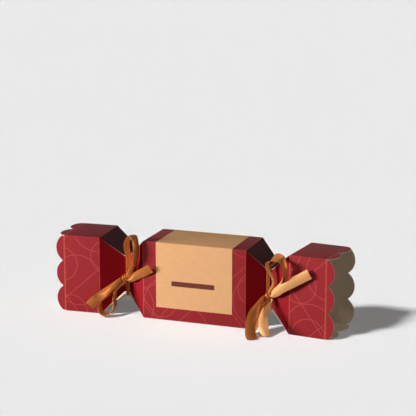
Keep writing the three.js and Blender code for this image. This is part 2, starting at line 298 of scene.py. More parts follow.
@dataclass(frozen=True)
class Blank:
    """The carton's blank: the sizes that its panels share and where it folds."""

    length: float
    depth: float
    height: float
    board: float = 0.0005
    crease_width: float = 0.00035
    crease_gap: float = 0.0003
    neck_depth: float = 0.037
    neck_height: float = 0.042
    neck_in: float = 0.073
    neck_out: float = 0.079
    seam: float = 0.0751
    end_start: float = 0.104
    mouth: float = 0.1415
    closing_step: float = 0.0008
    slit_top: float = 0.0008
    slit_bottom: float = 0.0035

    @classmethod
    def from_frame(cls) -> "Blank":
        """Measure the blank on the CAD model's main box.

        Returns:
            The blank, as long as the box is between the creases of its tapers.
        """
        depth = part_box("main_back_panel")[1].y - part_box("main_front_panel")[0].y
        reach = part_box("right_inner_taper_front")[0].x
        return cls(length=2 * reach - cls.crease_gap, depth=depth, height=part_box("main_top_panel")[1].z)

    @property
    def middle(self) -> float:
        """The height of the tube's middle line."""
        return self.height / 2

    @property
    def half(self) -> float:
        """Half the length of the main box."""
        return self.length / 2

    @property
    def cross_creases(self) -> Values:
        """How far from the carton's middle the creases lie that run round the tube."""
        flap = self.mouth + self.crease_gap / 2
        return (self.half, self.end_start, flap, flap + self.closing_step)

    @property
    def long_corners(self) -> Values:
        """Where the tube's long corners lie, measured round the flat blank."""
        over = self.height + self.depth
        return (-self.depth, 0.0, self.height, over, over + self.height)

    def flat_round(self, place: Vector, side: Side) -> float:
        """How far round the tube a point lies, measured on the flat blank from the front's foot.

        Args:
            place: The point.
            side: The side of the tube that it lies on.

        Returns:
            The distance, which is below zero on the bottom.
        """
        match side:
            case Side.FRONT:
                return place.z
            case Side.TOP:
                return self.height + place.y + self.depth / 2
            case Side.BACK:
                return self.height + self.depth + self.height - place.z
            case _:
                return -(place.y + self.depth / 2)

    def lay_out(self, obj: Object, name: str = "blank") -> None:
        """Give a straight piece its place on the flat blank as a UV map.

        Args:
            obj: The piece, before it is turned and before it gets its thickness.
            name: The map's name.
        """
        layout = obj.data.uv_layers.get(name) or obj.data.uv_layers.new(name=name)
        for face in obj.data.polygons:
            side = Side.facing(face.normal)
            for corner in face.loop_indices:
                place = obj.data.vertices[obj.data.loops[corner].vertex_index].co
                layout.data[corner].uv = (place.x, self.flat_round(place, side))

    def finish(self, obj: Object, board: tuple[Material, ...]) -> None:
        """Print a shell of board and give it its thickness, inward from the printed face.

        Args:
            obj: The shell, still straight.
            board: The finishes of its printed face, its inside and its cut edges.
        """
        self.lay_out(obj)
        dress(obj, *board)
        sides = {"material_offset": 1, "material_offset_rim": 2, "use_rim": True}
        settle(obj, "SOLIDIFY", thickness=self.board, offset=-1, use_even_offset=True, **sides)
        smooth(obj, Stuff.BOARD)


@dataclass(frozen=True)
class EndFrame:
    """Where one end section stands: at which end, on what pivot, and how far it is turned."""

    hand: Hand
    pivot: Vector
    turn: float

    @classmethod
    def from_frame(cls, hand: Hand) -> "EndFrame":
        """Find an end section's place in the CAD model.

        Args:
            hand: Which end it is.

        Returns:
            Its place, turned as the crease of its top flap is.
        """
        axis = Vector(joint_named(f"{hand.word}_top_flap_fold")["axis"]) * hand.value
        pivot = Vector(joint_named(f"{hand.word}_end_swing")["pos_m"])
        return cls(hand, pivot, math.atan2(-axis.x, axis.y))

    @property
    def turning(self) -> Matrix:
        """The end section's turn about its neck, as a matrix."""
        there = Matrix.Translation(self.pivot)
        return there @ Matrix.Rotation(self.turn, 4, "Z") @ there.inverted()

    @property
    def outward(self) -> Vector:
        """The direction from the neck to the end section's mouth."""
        return self.turning.to_3x3() @ Vector((self.hand.value, 0, 0))

    def swing_out(self, obj: Object, nearest: float) -> None:
        """Turn the part of a straight piece that lies beyond a distance along X.

        Args:
            obj: The piece.
            nearest: The distance from which it turns.
        """
        with shaping(obj), mesh_in_hand() as mesh:
            beyond = [corner for corner in mesh.verts if abs(corner.co.x) > nearest]
            bmesh.ops.transform(mesh, matrix=self.turning, verts=beyond)


def joint_named(name: str) -> dict:
    """The CAD model's joint of a name."""
    return next(joint for joint in frame["joints"] if joint["name"] == name)


# Node trees


def paint(red: float, green: float, blue: float) -> Colour:
    """A colour in linear light."""
    return (red, green, blue, 1.0)


@dataclass(frozen=True)
class Grain:
    """A noise: its cells for each metre, its finer layers and its scale along each axis."""

    cells: float
    layers: float = 2.0
    stretch: Values = (1, 1, 1)

    @property
    def fineness(self) -> dict[str, float]:
        """How fine it is, as the noise node takes it."""
        return {"Scale": self.cells, "Detail": self.layers}


class Wiring:
    """The nodes of one tree, added and joined with short calls."""

    def __init__(self, tree: bpy.types.NodeTree) -> None:
        """Start from an empty tree."""
        self.tree = tree
        tree.nodes.clear()

    def add(self, kind: str, feeds: dict | None = None, **settings: object) -> bpy.types.Node:
        """Add a node.

        Args:
            kind: The node's type, without its ShaderNode prefix.
            feeds: A socket or a value for each input, by its name or number.
            settings: Values of the node's own settings.

        Returns:
            The node.
        """
        node = self.tree.nodes.new(kind if kind.startswith("NodeGroup") else f"ShaderNode{kind}")
        for setting, value in settings.items():
            setattr(node, setting, value)
        for place, value in (feeds or {}).items():
            if isinstance(value, Socket):
                self.tree.links.new(value, node.inputs[place])
            else:
                node.inputs[place].default_value = value
        return node

    def sum(self, operation: str, *values: object) -> Socket:
        """The result of one of Blender's Math operations on sockets or numbers."""
        return self.add("Math", dict(enumerate(values)), operation=operation).outputs[0]

    def less(self, value: object, taken: object) -> Socket:
        """What is left of a value when another is taken from it."""
        return self.sum("SUBTRACT", value, taken)

    def times(self, value: object, factor: object) -> Socket:
        """A value times a factor."""
        return self.sum("MULTIPLY", value, factor)

    def line(self, value: object, slope: float, base: object) -> Socket:
        """A value times a slope, on top of a base."""
        return self.sum("MULTIPLY_ADD", value, slope, base)

    def above(self, value: object, limit: object) -> Socket:
        """1 where a value is above a limit and 0 elsewhere."""
        return self.sum("GREATER_THAN", value, limit)

    def least(self, *values: object) -> Socket:
        """The smallest of some values."""
        return reduce(partial(self.sum, "MINIMUM"), values)

    def most(self, *values: object) -> Socket:
        """The largest of some values."""
        return reduce(partial(self.sum, "MAXIMUM"), values)

    def away(self, value: object, *places: float) -> Socket:
        """The distance from a value to the nearest of some places."""
        return self.least(*(self.sum("ABSOLUTE", self.less(value, place)) for place in places))

    def diagonal(self, across: Socket, along: Socket) -> Socket:
        """The straight distance that two distances at right angles make."""
        return self.sum("SQRT", self.sum("ADD", self.times(across, across), self.times(along, along)))

    def axes(self, vector: Socket) -> list[Socket]:
        """A vector's values along X, Y and Z."""
        return list(self.add("SeparateXYZ", {0: vector}).outputs)

    def own_map(self, name: str) -> Socket:
        """The coordinates of a piece's own UV map."""
        return self.add("UVMap", uv_map=name).outputs["UV"]

    def in_place(self) -> Socket:
        """The coordinates of a piece as it stands in the frame."""
        return self.add("TexCoord").outputs["Object"]

    def band(self, value: Socket, low: float, high: float) -> Socket:
        """A smooth step.

        Args:
            value: What it depends on.
            low: Where the step is 0.
            high: Where it is 1, which may lie below low.

        Returns:
            The step, from 0 to 1.
        """
        start, stop = (0.0, 1.0) if low < high else (1.0, 0.0)
        ends = {"From Min": min(low, high), "From Max": max(low, high), "To Min": start, "To Max": stop}
        step = self.add("MapRange", {"Value": value, **ends}, interpolation_type="SMOOTHSTEP")
        return step.outputs["Result"]

    def mix(self, share: object, first: object, second: object) -> Socket:
        """A colour between two colours."""
        return self.add("Mix", {0: share, 6: first, 7: second}, data_type="RGBA").outputs[2]

    def toned(self, colour: Colour, tone: Socket, spread: float) -> Socket:
        """A colour that varies a little.

        Args:
            colour: The colour.
            tone: Which way it varies, from 0 for darker to 1 for lighter.
            spread: The share by which it varies.

        Returns:
            The varying colour.
        """
        ways = (1 - spread, 1 + spread)
        dark, light = (paint(*(min(1.0, channel * way) for channel in colour[:3])) for way in ways)
        return self.mix(tone, dark, light)

    def noise(self, vector: Socket, grain: Grain) -> Socket:
        """Noise of a grain over some coordinates, from 0 to 1."""
        placed = self.add("Mapping", {"Vector": vector, "Scale": grain.stretch}).outputs[0]
        return self.add("TexNoise", {"Vector": placed, **grain.fineness}).outputs["Fac"]


class EffectGroup:
    """A shader node group that several finishes share, built once."""

    name: str
    takes: dict[str, float | None]
    made: dict[str, bpy.types.NodeTree] = {}

    @classmethod
    def place(cls, wiring: Wiring, **feeds: object) -> dict[str, Socket]:
        """Put the group into a material and give its outputs back by name."""
        node = wiring.add("Group", feeds, node_tree=cls.made.get(cls.name) or cls.build())
        return {output.name: output for output in node.outputs}

    @classmethod
    def build(cls) -> bpy.types.NodeTree:
        """Make the group's tree, with an input for each value that it takes.

        Returns:
            The tree, which is kept for the next finish that asks for it.
        """
        tree = bpy.data.node_groups.new(cls.name, "ShaderNodeTree")
        for socket, value in cls.takes.items():
            kind = "NodeSocketVector" if value is None else "NodeSocketFloat"
            made = tree.interface.new_socket(socket, in_out="INPUT", socket_type=kind)
            if value is not None:
                made.default_value = value
        wiring = Wiring(tree)
        entry = wiring.add("NodeGroupInput").outputs
        gives = cls.effect(wiring, {socket: entry[socket] for socket in cls.takes})
        for socket in gives:
            tree.interface.new_socket(socket, in_out="OUTPUT", socket_type="NodeSocketFloat")
        wiring.add("NodeGroupOutput", gives)
        cls.made[cls.name] = tree
        return tree

    @classmethod
    def effect(cls, wiring: Wiring, takes: dict[str, Socket]) -> dict[str, Socket]:
        """Wire the effect from the group's inputs to its outputs. Each group has its own."""
        raise NotImplementedError


class PaperGrain(EffectGroup):
    """Fibres and mottling of board and paper."""

    name = "paper_grain"
    takes = {"Vector": None, "Fleck": 0.5}
    lengthwise = Grain(900, 3, (0.25, 1, 1))
    crosswise = Grain(1100, 3, (1, 0.3, 1))
    mottling = Grain(90, 4)
    flecks = Grain(1500, 2, (0.3, 1, 1))
    mottle_rise = 0.4
    mottle_share = 0.6

    @classmethod
    def effect(cls, wiring: Wiring, takes: dict[str, Socket]) -> dict[str, Socket]:
        """Lay fine fibres both ways over a soft mottling.

        Args:
            wiring: The group's wiring.
            takes: Its coordinates and how strong its darker fibres are.

        Returns:
            The relief, the tone and the darker fibres.
        """
        place = takes["Vector"]
        fibres = wiring.most(wiring.noise(place, cls.lengthwise), wiring.noise(place, cls.crosswise))
        mottle = wiring.noise(place, cls.mottling)
        fleck = wiring.band(wiring.noise(place, cls.flecks), low=0.62, high=0.7)
        return {
            "Height": wiring.line(mottle, cls.mottle_rise, fibres),
            "Tone": wiring.line(mottle, cls.mottle_share, wiring.times(fibres, 1 - cls.mottle_share)),
            "Fibre": wiring.times(fleck, takes["Fleck"]),
        }


@dataclass(frozen=True)
class LineFamily:
    """Lines that repeat across the print: rings of a radius, or else straight lines."""

    spacing: float
    shift: Values
    turn: float
    radius: float | None = None

    def distance(self, wiring: Wiring, place: Socket) -> Socket:
        """How far a place on the print is from the nearest of these lines.

        Args:
            wiring: The group's wiring.
            place: The coordinates on the print.

        Returns:
            The distance to the line's middle.
        """
        feeds = {"Vector": place, "Location": self.shift, "Rotation": (0, 0, self.turn)}
        x, y, _ = wiring.axes(wiring.add("Mapping", feeds).outputs[0])
        across = wiring.sum("PINGPONG", x, self.spacing / 2)
        if self.radius is None:
            return across
        along = wiring.sum("PINGPONG", y, self.spacing / 2)
        return wiring.away(wiring.diagonal(across, along), self.radius)


class LinePrint(EffectGroup):
    """A plain geometric line print: rings of two sizes that cross each other and slanting lines."""

    name = "line_print"
    takes = {"Vector": None, "Scale": 1.0, "Line": 0.0009}
    families = (
        LineFamily(0.062, (0.008, 0.012, 0), 0.35, radius=0.0265),
        LineFamily(0.051, (0.031, 0.024, 0), -0.2, radius=0.0175),
        LineFamily(0.047, (0.011, 0, 0), 0.84),
        LineFamily(0.071, (0.03, 0, 0), -0.66),
    )

    @classmethod
    def effect(cls, wiring: Wiring, takes: dict[str, Socket]) -> dict[str, Socket]:
        """Draw every family of lines.

        Args:
            wiring: The group's wiring.
            takes: Its coordinates, how much smaller the pattern is, and the lines' width.

        Returns:
            1 on the lines and 0 off them.
        """
        feeds = {0: takes["Vector"], "Scale": takes["Scale"]}
        place = wiring.add("VectorMath", feeds, operation="SCALE").outputs[0]
        half = wiring.times(wiring.times(takes["Line"], takes["Scale"]), 0.5)
        nearest = wiring.least(*(family.distance(wiring, place) for family in cls.families))
        return {"Mask": wiring.band(wiring.sum("DIVIDE", nearest, half), low=1.25, high=0.6)}


class FoldWear(EffectGroup):
    """The paler, broken line that a crease leaves in printed board."""

    name = "fold_wear"
    takes = {"Vector": None, "Distance": 1.0, "Width": 0.0005}
    chips = Grain(420, 4)
    unchipped = 0.5

    @classmethod
    def effect(cls, wiring: Wiring, takes: dict[str, Socket]) -> dict[str, Socket]:
        """Draw a line about the fold, broken up by chips in the ink.

        Args:
            wiring: The group's wiring.
            takes: Its coordinates, the distance from the fold and the line's width.

        Returns:
            How worn the ink is, from 0 to 1.
        """
        chips = wiring.band(wiring.noise(takes["Vector"], cls.chips), low=0.28, high=0.62)
        line = wiring.band(wiring.sum("DIVIDE", takes["Distance"], takes["Width"]), low=1.5, high=0.7)
        return {"Mask": wiring.times(line, wiring.line(chips, 1 - cls.unchipped, cls.unchipped))}


class SatinThreads(EffectGroup):
    """Floating threads along a satin ribbon, its selvedges and long streaks of painted crease shade."""

    name = "satin_threads"
    takes = {"Vector": None, "Half": 0.005}
    threads = Grain(5200, 2, (1, 0.03, 1))
    picks = Grain(4200, 1, (0.15, 1, 1))
    # Long streaks that darken the colour along the ribbon: painted shade of its creasing.
    streaks = Grain(620, 3, (1, 0.05, 1))
    pick_rise = 0.35
    selvedge_rise = 0.8
    streak_share = 0.7

    @classmethod
    def effect(cls, wiring: Wiring, takes: dict[str, Socket]) -> dict[str, Socket]:
        """Lay threads along the ribbon, which its own map has across it in X and along it in Y.

        Args:
            wiring: The group's wiring.
            takes: The ribbon's own map and half its width.

        Returns:
            The relief, the tone, which carries the streaks of painted crease shade, and the selvedges.
        """
        place = takes["Vector"]
        threads, picks, streaks = (wiring.noise(place, g) for g in (cls.threads, cls.picks, cls.streaks))
        from_edge = wiring.less(takes["Half"], wiring.sum("ABSOLUTE", wiring.axes(place)[0]))
        selvedge = wiring.band(from_edge, low=0.0007, high=0.0003)
        return {
            "Height": wiring.line(selvedge, cls.selvedge_rise, wiring.line(picks, cls.pick_rise, threads)),
            "Tone": wiring.line(streaks, cls.streak_share, wiring.times(threads, 1 - cls.streak_share)),
            "Selvedge": selvedge,
        }


# Finishes


@dataclass(frozen=True)
class Finish:
    """A procedural material. Each kind says what pattern covers it and what is the same all over."""

    name: str
    roughness: float
    _: KW_ONLY
    spread: float = 0.1
    relief: float = 0.04 * MILLIMETRE
    strength: float = 0.5
    specular: float = 0.5

    def make(self) -> Material:
        """Build the material.

        Returns:
            The material, with a Principled surface fed by this finish's pattern.
        """
        material = bpy.data.materials.new(self.name)
        material.use_nodes = True
        wiring = Wiring(material.node_tree)
        colour, tone, height = self.pattern(wiring)
        rough = wiring.line(tone, self.spread, self.roughness - self.spread / 2)
        bump = wiring.add("Bump", {"Height": height, "Distance": self.relief, "Strength": self.strength})
        varied = {"Base Color": colour, "Roughness": rough, "Normal": bump.outputs["Normal"]}
        plain = {"Specular IOR Level": self.specular, **self.all_over}
        surface = wiring.add("BsdfPrincipled", {**varied, **plain})
        wiring.add("OutputMaterial", {"Surface": surface.outputs["BSDF"]})
        return material

    def pattern(self, wiring: Wiring) -> tuple[Socket, Socket, Socket]:
        """The colour, the tone that the roughness follows, and the relief."""
        raise NotImplementedError

    @property
    def all_over(self) -> dict[str, object]:
        """The surface's own constants."""
        return {}


@dataclass(frozen=True)
class PrintedBoard(Finish):
    """The carton's printed and varnished outside, with a painted sheen on its front and back and painted
    shade on its top and bottom.
    """

    blank: Blank
    # Painted sheen: the front and back ink is paler in green and blue, as a glossy sheen would make it.
    ink: Colour = paint(0.376, 0.028, 0.034)
    # Painted shade: the top's ink is a darker, greyer red than the front's, and the tapers on the top are
    # nearly black.
    top_ink: Colour = paint(0.31, 0.031, 0.035)
    deep_ink: Colour = paint(0.29, 0.003, 0.009)
    top_deep_ink: Colour = paint(0.07, 0.006, 0.01)
    line: Colour = paint(0.56, 0.075, 0.07)
    crease: Colour = paint(0.62, 0.10, 0.075)
    line_width: float = 0.9 * MILLIMETRE
    line_strength: float = 0.85
    crease_line: float = 0.32 * MILLIMETRE
    long_wear: float = 0.55
    wear_dulls: float = 0.5
    colour_step: float = 0.3 * MILLIMETRE

    def pattern(self, wiring: Wiring) -> tuple[Socket, Socket, Socket]:
        """Print red ink with a paler line print, plain and deep on the tapers, worn at the creases, with
        painted sheen and shade.

        Args:
            wiring: The material's wiring.

        Returns:
            The colour, the tone and the relief.
        """
        blank, place = self.blank, wiring.own_map("blank")
        x, round_tube, _ = wiring.axes(place)
        along = wiring.sum("ABSOLUTE", x)
        grain = PaperGrain.place(wiring, Vector=place)
        level = self.over_and_under(wiring, round_tube)
        past_mouth = wiring.above(along, blank.mouth)
        into_taper = wiring.least(wiring.less(along, blank.half), wiring.less(blank.end_start, along))
        deep = wiring.band(into_taper, -self.colour_step, self.colour_step)
        # The level sides swap the ink for painted shade: darker on the top and bottom, nearly black on
        # their tapers.
        bright = wiring.mix(level, wiring.toned(self.ink, grain["Tone"], spread=0.09), self.top_ink)
        ink = wiring.mix(deep, bright, wiring.mix(level, self.deep_ink, self.top_deep_ink))
        lines = LinePrint.place(wiring, Vector=place, Line=self.line_width)["Mask"]
        printed = wiring.less(1.0, wiring.most(deep, level, past_mouth))
        drawn = wiring.times(wiring.times(lines, self.line_strength), printed)
        unfolded = wiring.most(wiring.above(into_taper, 0), past_mouth)
        folds = (
            wiring.away(along, *blank.cross_creases),
            wiring.sum("ADD", wiring.away(round_tube, *blank.long_corners), unfolded),
        )
        worn = {"Vector": place, "Width": self.crease_line}
        crosswise, lengthwise = (FoldWear.place(wiring, Distance=fold, **worn)["Mask"] for fold in folds)
        wear = wiring.most(crosswise, wiring.times(lengthwise, self.long_wear))
        colour = wiring.mix(wear, wiring.mix(drawn, ink, self.line), self.crease)
        return colour, wiring.line(wear, self.wear_dulls, grain["Tone"]), grain["Height"]

    def over_and_under(self, wiring: Wiring, round_tube: Socket) -> Socket:
        """Find the level sides, which take the painted shade and no line print.

        Args:
            wiring: The material's wiring.
            round_tube: The distance round the tube.

        Returns:
            1 on the carton's top and bottom and 0 on its front and back.
        """
        over = self.blank.height + self.blank.depth
        on_top = wiring.times(wiring.above(round_tube, self.blank.height), wiring.above(over, round_tube))
        return wiring.most(on_top, wiring.above(0.0, round_tube))


@dataclass(frozen=True)
class RawBoard(Finish):
    """The uncoated inside of the board."""

    pulp: Colour = paint(0.72, 0.58, 0.44)
    fibre: Colour = paint(0.4464, 0.3596, 0.2728)

    def pattern(self, wiring: Wiring) -> tuple[Socket, Socket, Socket]:
        """Make grey-brown pulp with darker fibres.

        Args:
            wiring: The material's wiring.

        Returns:
            The colour, the tone and the relief.
        """
        grain = PaperGrain.place(wiring, Vector=wiring.in_place())
        pulp = wiring.toned(self.pulp, grain["Tone"], spread=0.16)
        return wiring.mix(grain["Fibre"], pulp, self.fibre), grain["Tone"], grain["Height"]


@dataclass(frozen=True)
class CutEdge(Finish):
    """The die-cut edge of the board: its pale core, tinted by the ink that the knife drags over it."""

    core: Colour = paint(0.66, 0.53, 0.48)
    tint: Colour = paint(0.5, 0.22, 0.2)
    tint_strength: float = 0.5

    def pattern(self, wiring: Wiring) -> tuple[Socket, Socket, Socket]:
        """Make pale layered pulp with patches of ink.

        Args:
            wiring: The material's wiring.

        Returns:
            The colour, the tone and the relief.
        """
        grain = PaperGrain.place(wiring, Vector=wiring.own_map("blank"))
        dragged = wiring.times(wiring.band(grain["Height"], low=0.75, high=1.0), self.tint_strength)
        core = wiring.toned(self.core, grain["Tone"], spread=0.2)
        return wiring.mix(dragged, core, self.tint), grain["Tone"], grain["Height"]


@dataclass(frozen=True)
class KraftPaper(Finish):
    """The label's kraft paper, with a bare bar and a faint line print on its front."""

    pulp: Colour = paint(0.90, 0.475, 0.215)
    faint: Colour = paint(0.77, 0.39, 0.17)
    bar: Colour = paint(0.15, 0.02, 0.015)
    bar_middle: Values = (-0.001, 0.039)
    bar_half: Values = (0.023, 0.0026)
    bar_corner: float = 1.2 * MILLIMETRE
    bar_blur: float = 0.1 * MILLIMETRE
    bar_strength: float = 0.97
    line_strength: float = 0.3
    fibres: float = 0.28
    line_scale: float = 1.35
    line_width: float = 0.7 * MILLIMETRE

    def pattern(self, wiring: Wiring) -> tuple[Socket, Socket, Socket]:
        """Print tan pulp with faint lines and the bar.

        Args:
            wiring: The material's wiring.

        Returns:
            The colour, the tone and the relief.
        """
        place = wiring.own_map("label")
        grain = PaperGrain.place(wiring, Vector=place, Fleck=self.fibres)
        pulp = wiring.mix(grain["Fibre"], wiring.toned(self.pulp, grain["Tone"], spread=0.1), self.faint)
        lines = LinePrint.place(wiring, Vector=place, Scale=self.line_scale, Line=self.line_width)["Mask"]
        printed = wiring.mix(wiring.times(lines, self.line_strength), pulp, self.faint)
        bar = wiring.times(self.bar_mask(wiring, place), self.bar_strength)
        colour = wiring.mix(bar, printed, self.bar)
        return colour, grain["Tone"], grain["Height"]

    def bar_mask(self, wiring: Wiring, place: Socket) -> Socket:
        """Find the bar's rounded outline.

        Args:
            wiring: The material's wiring.
            place: The label's own coordinates.

        Returns:
            1 inside it and 0 outside it.
        """
        beyond = []
        for axis, middle, half in zip(wiring.axes(place), self.bar_middle, self.bar_half):
            past = wiring.less(wiring.away(axis, middle), half - self.bar_corner)
            beyond.append(wiring.most(past, 0.0))
        edge, blur = self.bar_corner, self.bar_blur
        return wiring.band(wiring.diagonal(*beyond), edge + blur, edge - blur)


@dataclass(frozen=True)
class SatinRibbon(Finish):
    """One side of the bronze satin: bright along its threads, with deeper streaks of painted crease shade
    between them.
    """

    metallic: float
    thread: Colour
    deep: Colour
    half_width: float = 5 * MILLIMETRE
    shine: Colour = paint(1.0, 0.62, 0.32)
    streak_strength: float = 0.6
    edge_strength: float = 0.35

    def pattern(self, wiring: Wiring) -> tuple[Socket, Socket, Socket]:
        """Weave the bronze threads, with deeper edges and darker streaks of painted crease shade.

        Args:
            wiring: The material's wiring.

        Returns:
            The colour, the tone and the relief.
        """
        threads = SatinThreads.place(wiring, Vector=wiring.own_map("ribbon"), Half=self.half_width)
        # Painted shade: darker streaks along the ribbon stand for its creasing.
        streaks = wiring.times(wiring.band(threads["Tone"], low=1.0, high=0.2), self.streak_strength)
        edges = wiring.times(threads["Selvedge"], self.edge_strength)
        colour = wiring.mix(edges, wiring.mix(streaks, self.thread, self.deep), self.deep)
        return colour, threads["Tone"], threads["Height"]

    @property
    def all_over(self) -> dict[str, object]:
        """A metallic shine that is drawn out along the threads, with a little sheen."""
        sheen = {"Sheen Weight": 0.05, "Sheen Roughness": 0.4}
        return {"Metallic": self.metallic, "Specular Tint": self.shine, "Anisotropic": 0.6, **sheen}


@dataclass(frozen=True)
class PouchFilm(Finish):
    """The pouch's frosted, crumpled film, with the lumps inside showing as darker patches."""

    film: Colour = paint(0.70, 0.58, 0.42)
    filling: Colour = paint(0.33, 0.17, 0.07)
    lumps: float = 75.0
    crumpling: Grain = Grain(260, 4)
    patch_strength: float = 0.6
    patch_fray: float = 0.25

    def pattern(self, wiring: Wiring) -> tuple[Socket, Socket, Socket]:
        """Press the lumps against the film.

        Args:
            wiring: The material's wiring.

        Returns:
            The colour, the tone and the relief.
        """
        place = wiring.in_place()
        lumps = wiring.add("TexVoronoi", {"Vector": place, "Scale": self.lumps}).outputs["Distance"]
        crumple = wiring.noise(place, self.crumpling)
        patches = wiring.band(wiring.line(crumple, self.patch_fray, lumps), low=0.5, high=0.2)
        film = wiring.toned(self.film, crumple, spread=0.12)
        return wiring.mix(wiring.times(patches, self.patch_strength), film, self.filling), crumple, crumple

    @property
    def all_over(self) -> dict[str, object]:
        """A thin coat of gloss."""
        return {"Coat Weight": 0.4, "Coat Roughness": 0.15}


@dataclass(frozen=True)
class Finishes:
    """Every material of the carton, each made once."""

    board: tuple[Material, Material, Material]
    kraft: Material
    satin: Material
    satin_back: Material
    film: Material

    @classmethod
    def for_blank(cls, blank: Blank) -> "Finishes":
        """Make them.

        Args:
            blank: The blank that the print is laid out on.

        Returns:
            The materials, the board's in the order of printed face, inside and cut edge.
        """
        ink = {"spread": 0.14, "relief": 0.03 * MILLIMETRE, "strength": 0.35, "specular": 0.08}
        satin = {"spread": 0.12, "strength": 0.35}
        printed = PrintedBoard("printed_board_outside", 0.5, blank, **ink)
        raw = RawBoard("board_inside", 0.88, relief=0.05 * MILLIMETRE, specular=0.25)
        kraft = KraftPaper("kraft_label_paper", 0.8, spread=0.12, specular=0.3)
        bronze, deep_bronze = paint(0.74, 0.24, 0.055), paint(0.32, 0.085, 0.014)
        pale, deep_pale = paint(0.92, 0.45, 0.18), paint(0.62, 0.27, 0.09)
        face = SatinRibbon("bronze_satin", 0.34, 0.35, bronze, deep_bronze, **satin)
        back = SatinRibbon("bronze_satin_back", 0.5, 0.15, pale, deep_pale, **satin)
        film = PouchFilm("pouch_film_frosted", 0.35, spread=0.2, relief=0.6 * MILLIMETRE, strength=0.6)
        board = (printed.make(), raw.make(), CutEdge("board_cut_edge", 0.85).make())
        return cls(board, kraft.make(), face.make(), back.make(), film.make())


# The carton


@dataclass
class BoardTube:
    """A stretch of the carton's tube, modelled straight from a box."""

    blank: Blank
    finishes: Finishes

    def box_tube(self, name: str, low: float, high: float) -> Object:
        """Make an open tube with the main box's section.

        Args:
            name: The piece's name.
            low: Where it starts along X.
            high: Where it ends along X.

        Returns:
            The tube, as one layer of faces.
        """
        set_down_all()
        size = (high - low, self.blank.depth, self.blank.height)
        middle = ((low + high) / 2, 0, self.blank.middle)
        bpy.ops.mesh.primitive_cube_add(size=1, location=middle, scale=size)
        tube = fresh(name)
        with shaping(tube):
            pick(Part.FACES, lambda face: abs(face.normal.x) > FACING)
            bpy.ops.mesh.delete(type="ONLY_FACE")
        return tube

    def neck_down(self, tube: Object, start: float, stop: float) -> None:
        """Draw the tube in from one open edge to the neck, and on to the middle of the neck.

        Args:
            tube: The tube.
            start: Where its open edge is along X.
            stop: Where the taper reaches the neck.
        """
        blank = self.blank
        seam = math.copysign(blank.seam, start)
        to_neck = (1, blank.neck_depth / blank.depth, blank.neck_height / blank.height)
        with shaping(tube):
            pick(Part.EDGES, lambda edge: edge.is_boundary and at(edge, start))
            draw_out(stop - start)
            bpy.ops.transform.resize(value=to_neck, center_override=(stop, 0, blank.middle))
            draw_out(seam - stop)

    def cut_corners(self, tube: Object, narrow: Callable[[float], bool]) -> None:
        """Part the panels along the corners of the tapers and open the slits between them.

        Args:
            tube: The tube.
            narrow: Whether a place along X is past the box's own corner.
        """

        def at_taper_corner(edge: bmesh.types.BMEdge) -> bool:
            """Whether an edge runs along the tube at a corner of a taper or neck strip."""
            ends = [corner.co.x for corner in edge.verts]
            return abs(ends[0] - ends[1]) > MILLIMETRE and any(map(narrow, ends))

        def in_upright(corner: bmesh.types.BMVert) -> bool:
            """Whether a corner belongs to the front or back at the neck."""
            sides = [Side.facing(face.normal) for face in corner.link_faces]
            return narrow(corner.co.x) and any(side.upright for side in sides)

        middle = self.blank.middle
        with shaping(tube):
            pick(Part.EDGES, at_taper_corner)
            bpy.ops.mesh.edge_split(type="EDGE")
            pick(Part.CORNERS, lambda corner: in_upright(corner) and corner.co.z > middle)
            bpy.ops.transform.translate(value=(0, 0, -self.blank.slit_top))
            pick(Part.CORNERS, lambda corner: in_upright(corner) and corner.co.z < middle)
            bpy.ops.transform.translate(value=(0, 0, self.blank.slit_bottom))

    def finish_board(self, tube: Object) -> None:
        """Round the tube's folds as creases in board are, print it and give it its thickness.

        Args:
            tube: The tube, still straight.
        """
        with shaping(tube):
            pick(Part.EDGES, lambda edge: not edge.is_boundary and edge.calc_face_angle(0) > FOLD_ANGLE)
            bpy.ops.mesh.bevel(offset=self.blank.crease_width, segments=2, affect="EDGES")
        self.blank.finish(tube, self.finishes.board)

    def dress_glue_flap(self, name: str) -> None:
        """Leave the CAD model's glue flap as it is, in raw board."""
        dress(frame["nodes"][name], self.finishes.board[1])


@dataclass
class MainBox(BoardTube):
    """The main box with both inner tapers and neck strips, all in one with the carton."""

    def build(self) -> None:
        """Model the main box and both its necks."""
        blank = self.blank
        tube = self.box_tube("carton_body", -blank.half, blank.half)
        for sign in (-1, 1):
            self.neck_down(tube, sign * blank.half, sign * blank.neck_in)
        self.cut_corners(tube, lambda x: abs(x) > blank.half + MILLIMETRE)
        self.finish_board(tube)
        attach(tube, "carton")
        replaced = [f"main_{side.word}_panel" for side in Side]
        for hand in Hand:
            for side in Side:
                replaced += [f"{hand.word}_inner_taper_{side.word}", f"{hand.word}_neck_strip_{side.word}"]
        hand_over(tube, replaced)
        self.dress_glue_flap("main_glue_flap")


@dataclass
class EndSection(BoardTube):
    """One end section with its outer tapers, which turns on the neck, and its four flaps."""

    place: EndFrame
    gives_before: float = 2 * MILLIMETRE
    gives_beyond: float = 4 * MILLIMETRE

    def build(self) -> None:
        """Model the section and its flaps, turned about its neck."""
        blank = self.blank
        sign, word = self.place.hand.value, self.place.hand.word
        low, high = sorted((sign * blank.end_start, sign * blank.mouth))
        tube = self.box_tube(f"{word}_end_section", low, high)
        self.neck_down(tube, sign * blank.end_start, sign * blank.neck_out)
        self.cut_corners(tube, lambda x: abs(x) < blank.end_start - MILLIMETRE)
        self.finish_board(tube)
        self.place.swing_out(tube, blank.end_start - 2 * MILLIMETRE)
        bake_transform(tube)
        replaced = []
        for side in Side:
            replaced += [f"{word}_outer_taper_{side.word}", f"{word}_end_{side.word}_panel"]
        hand_over(tube, replaced, f"carton to {word}_end")
        self.dress_glue_flap(f"{word}_end_glue_flap")
        for side in Side:
            ScallopedFlap(blank, self.finishes, self.place, side).build()


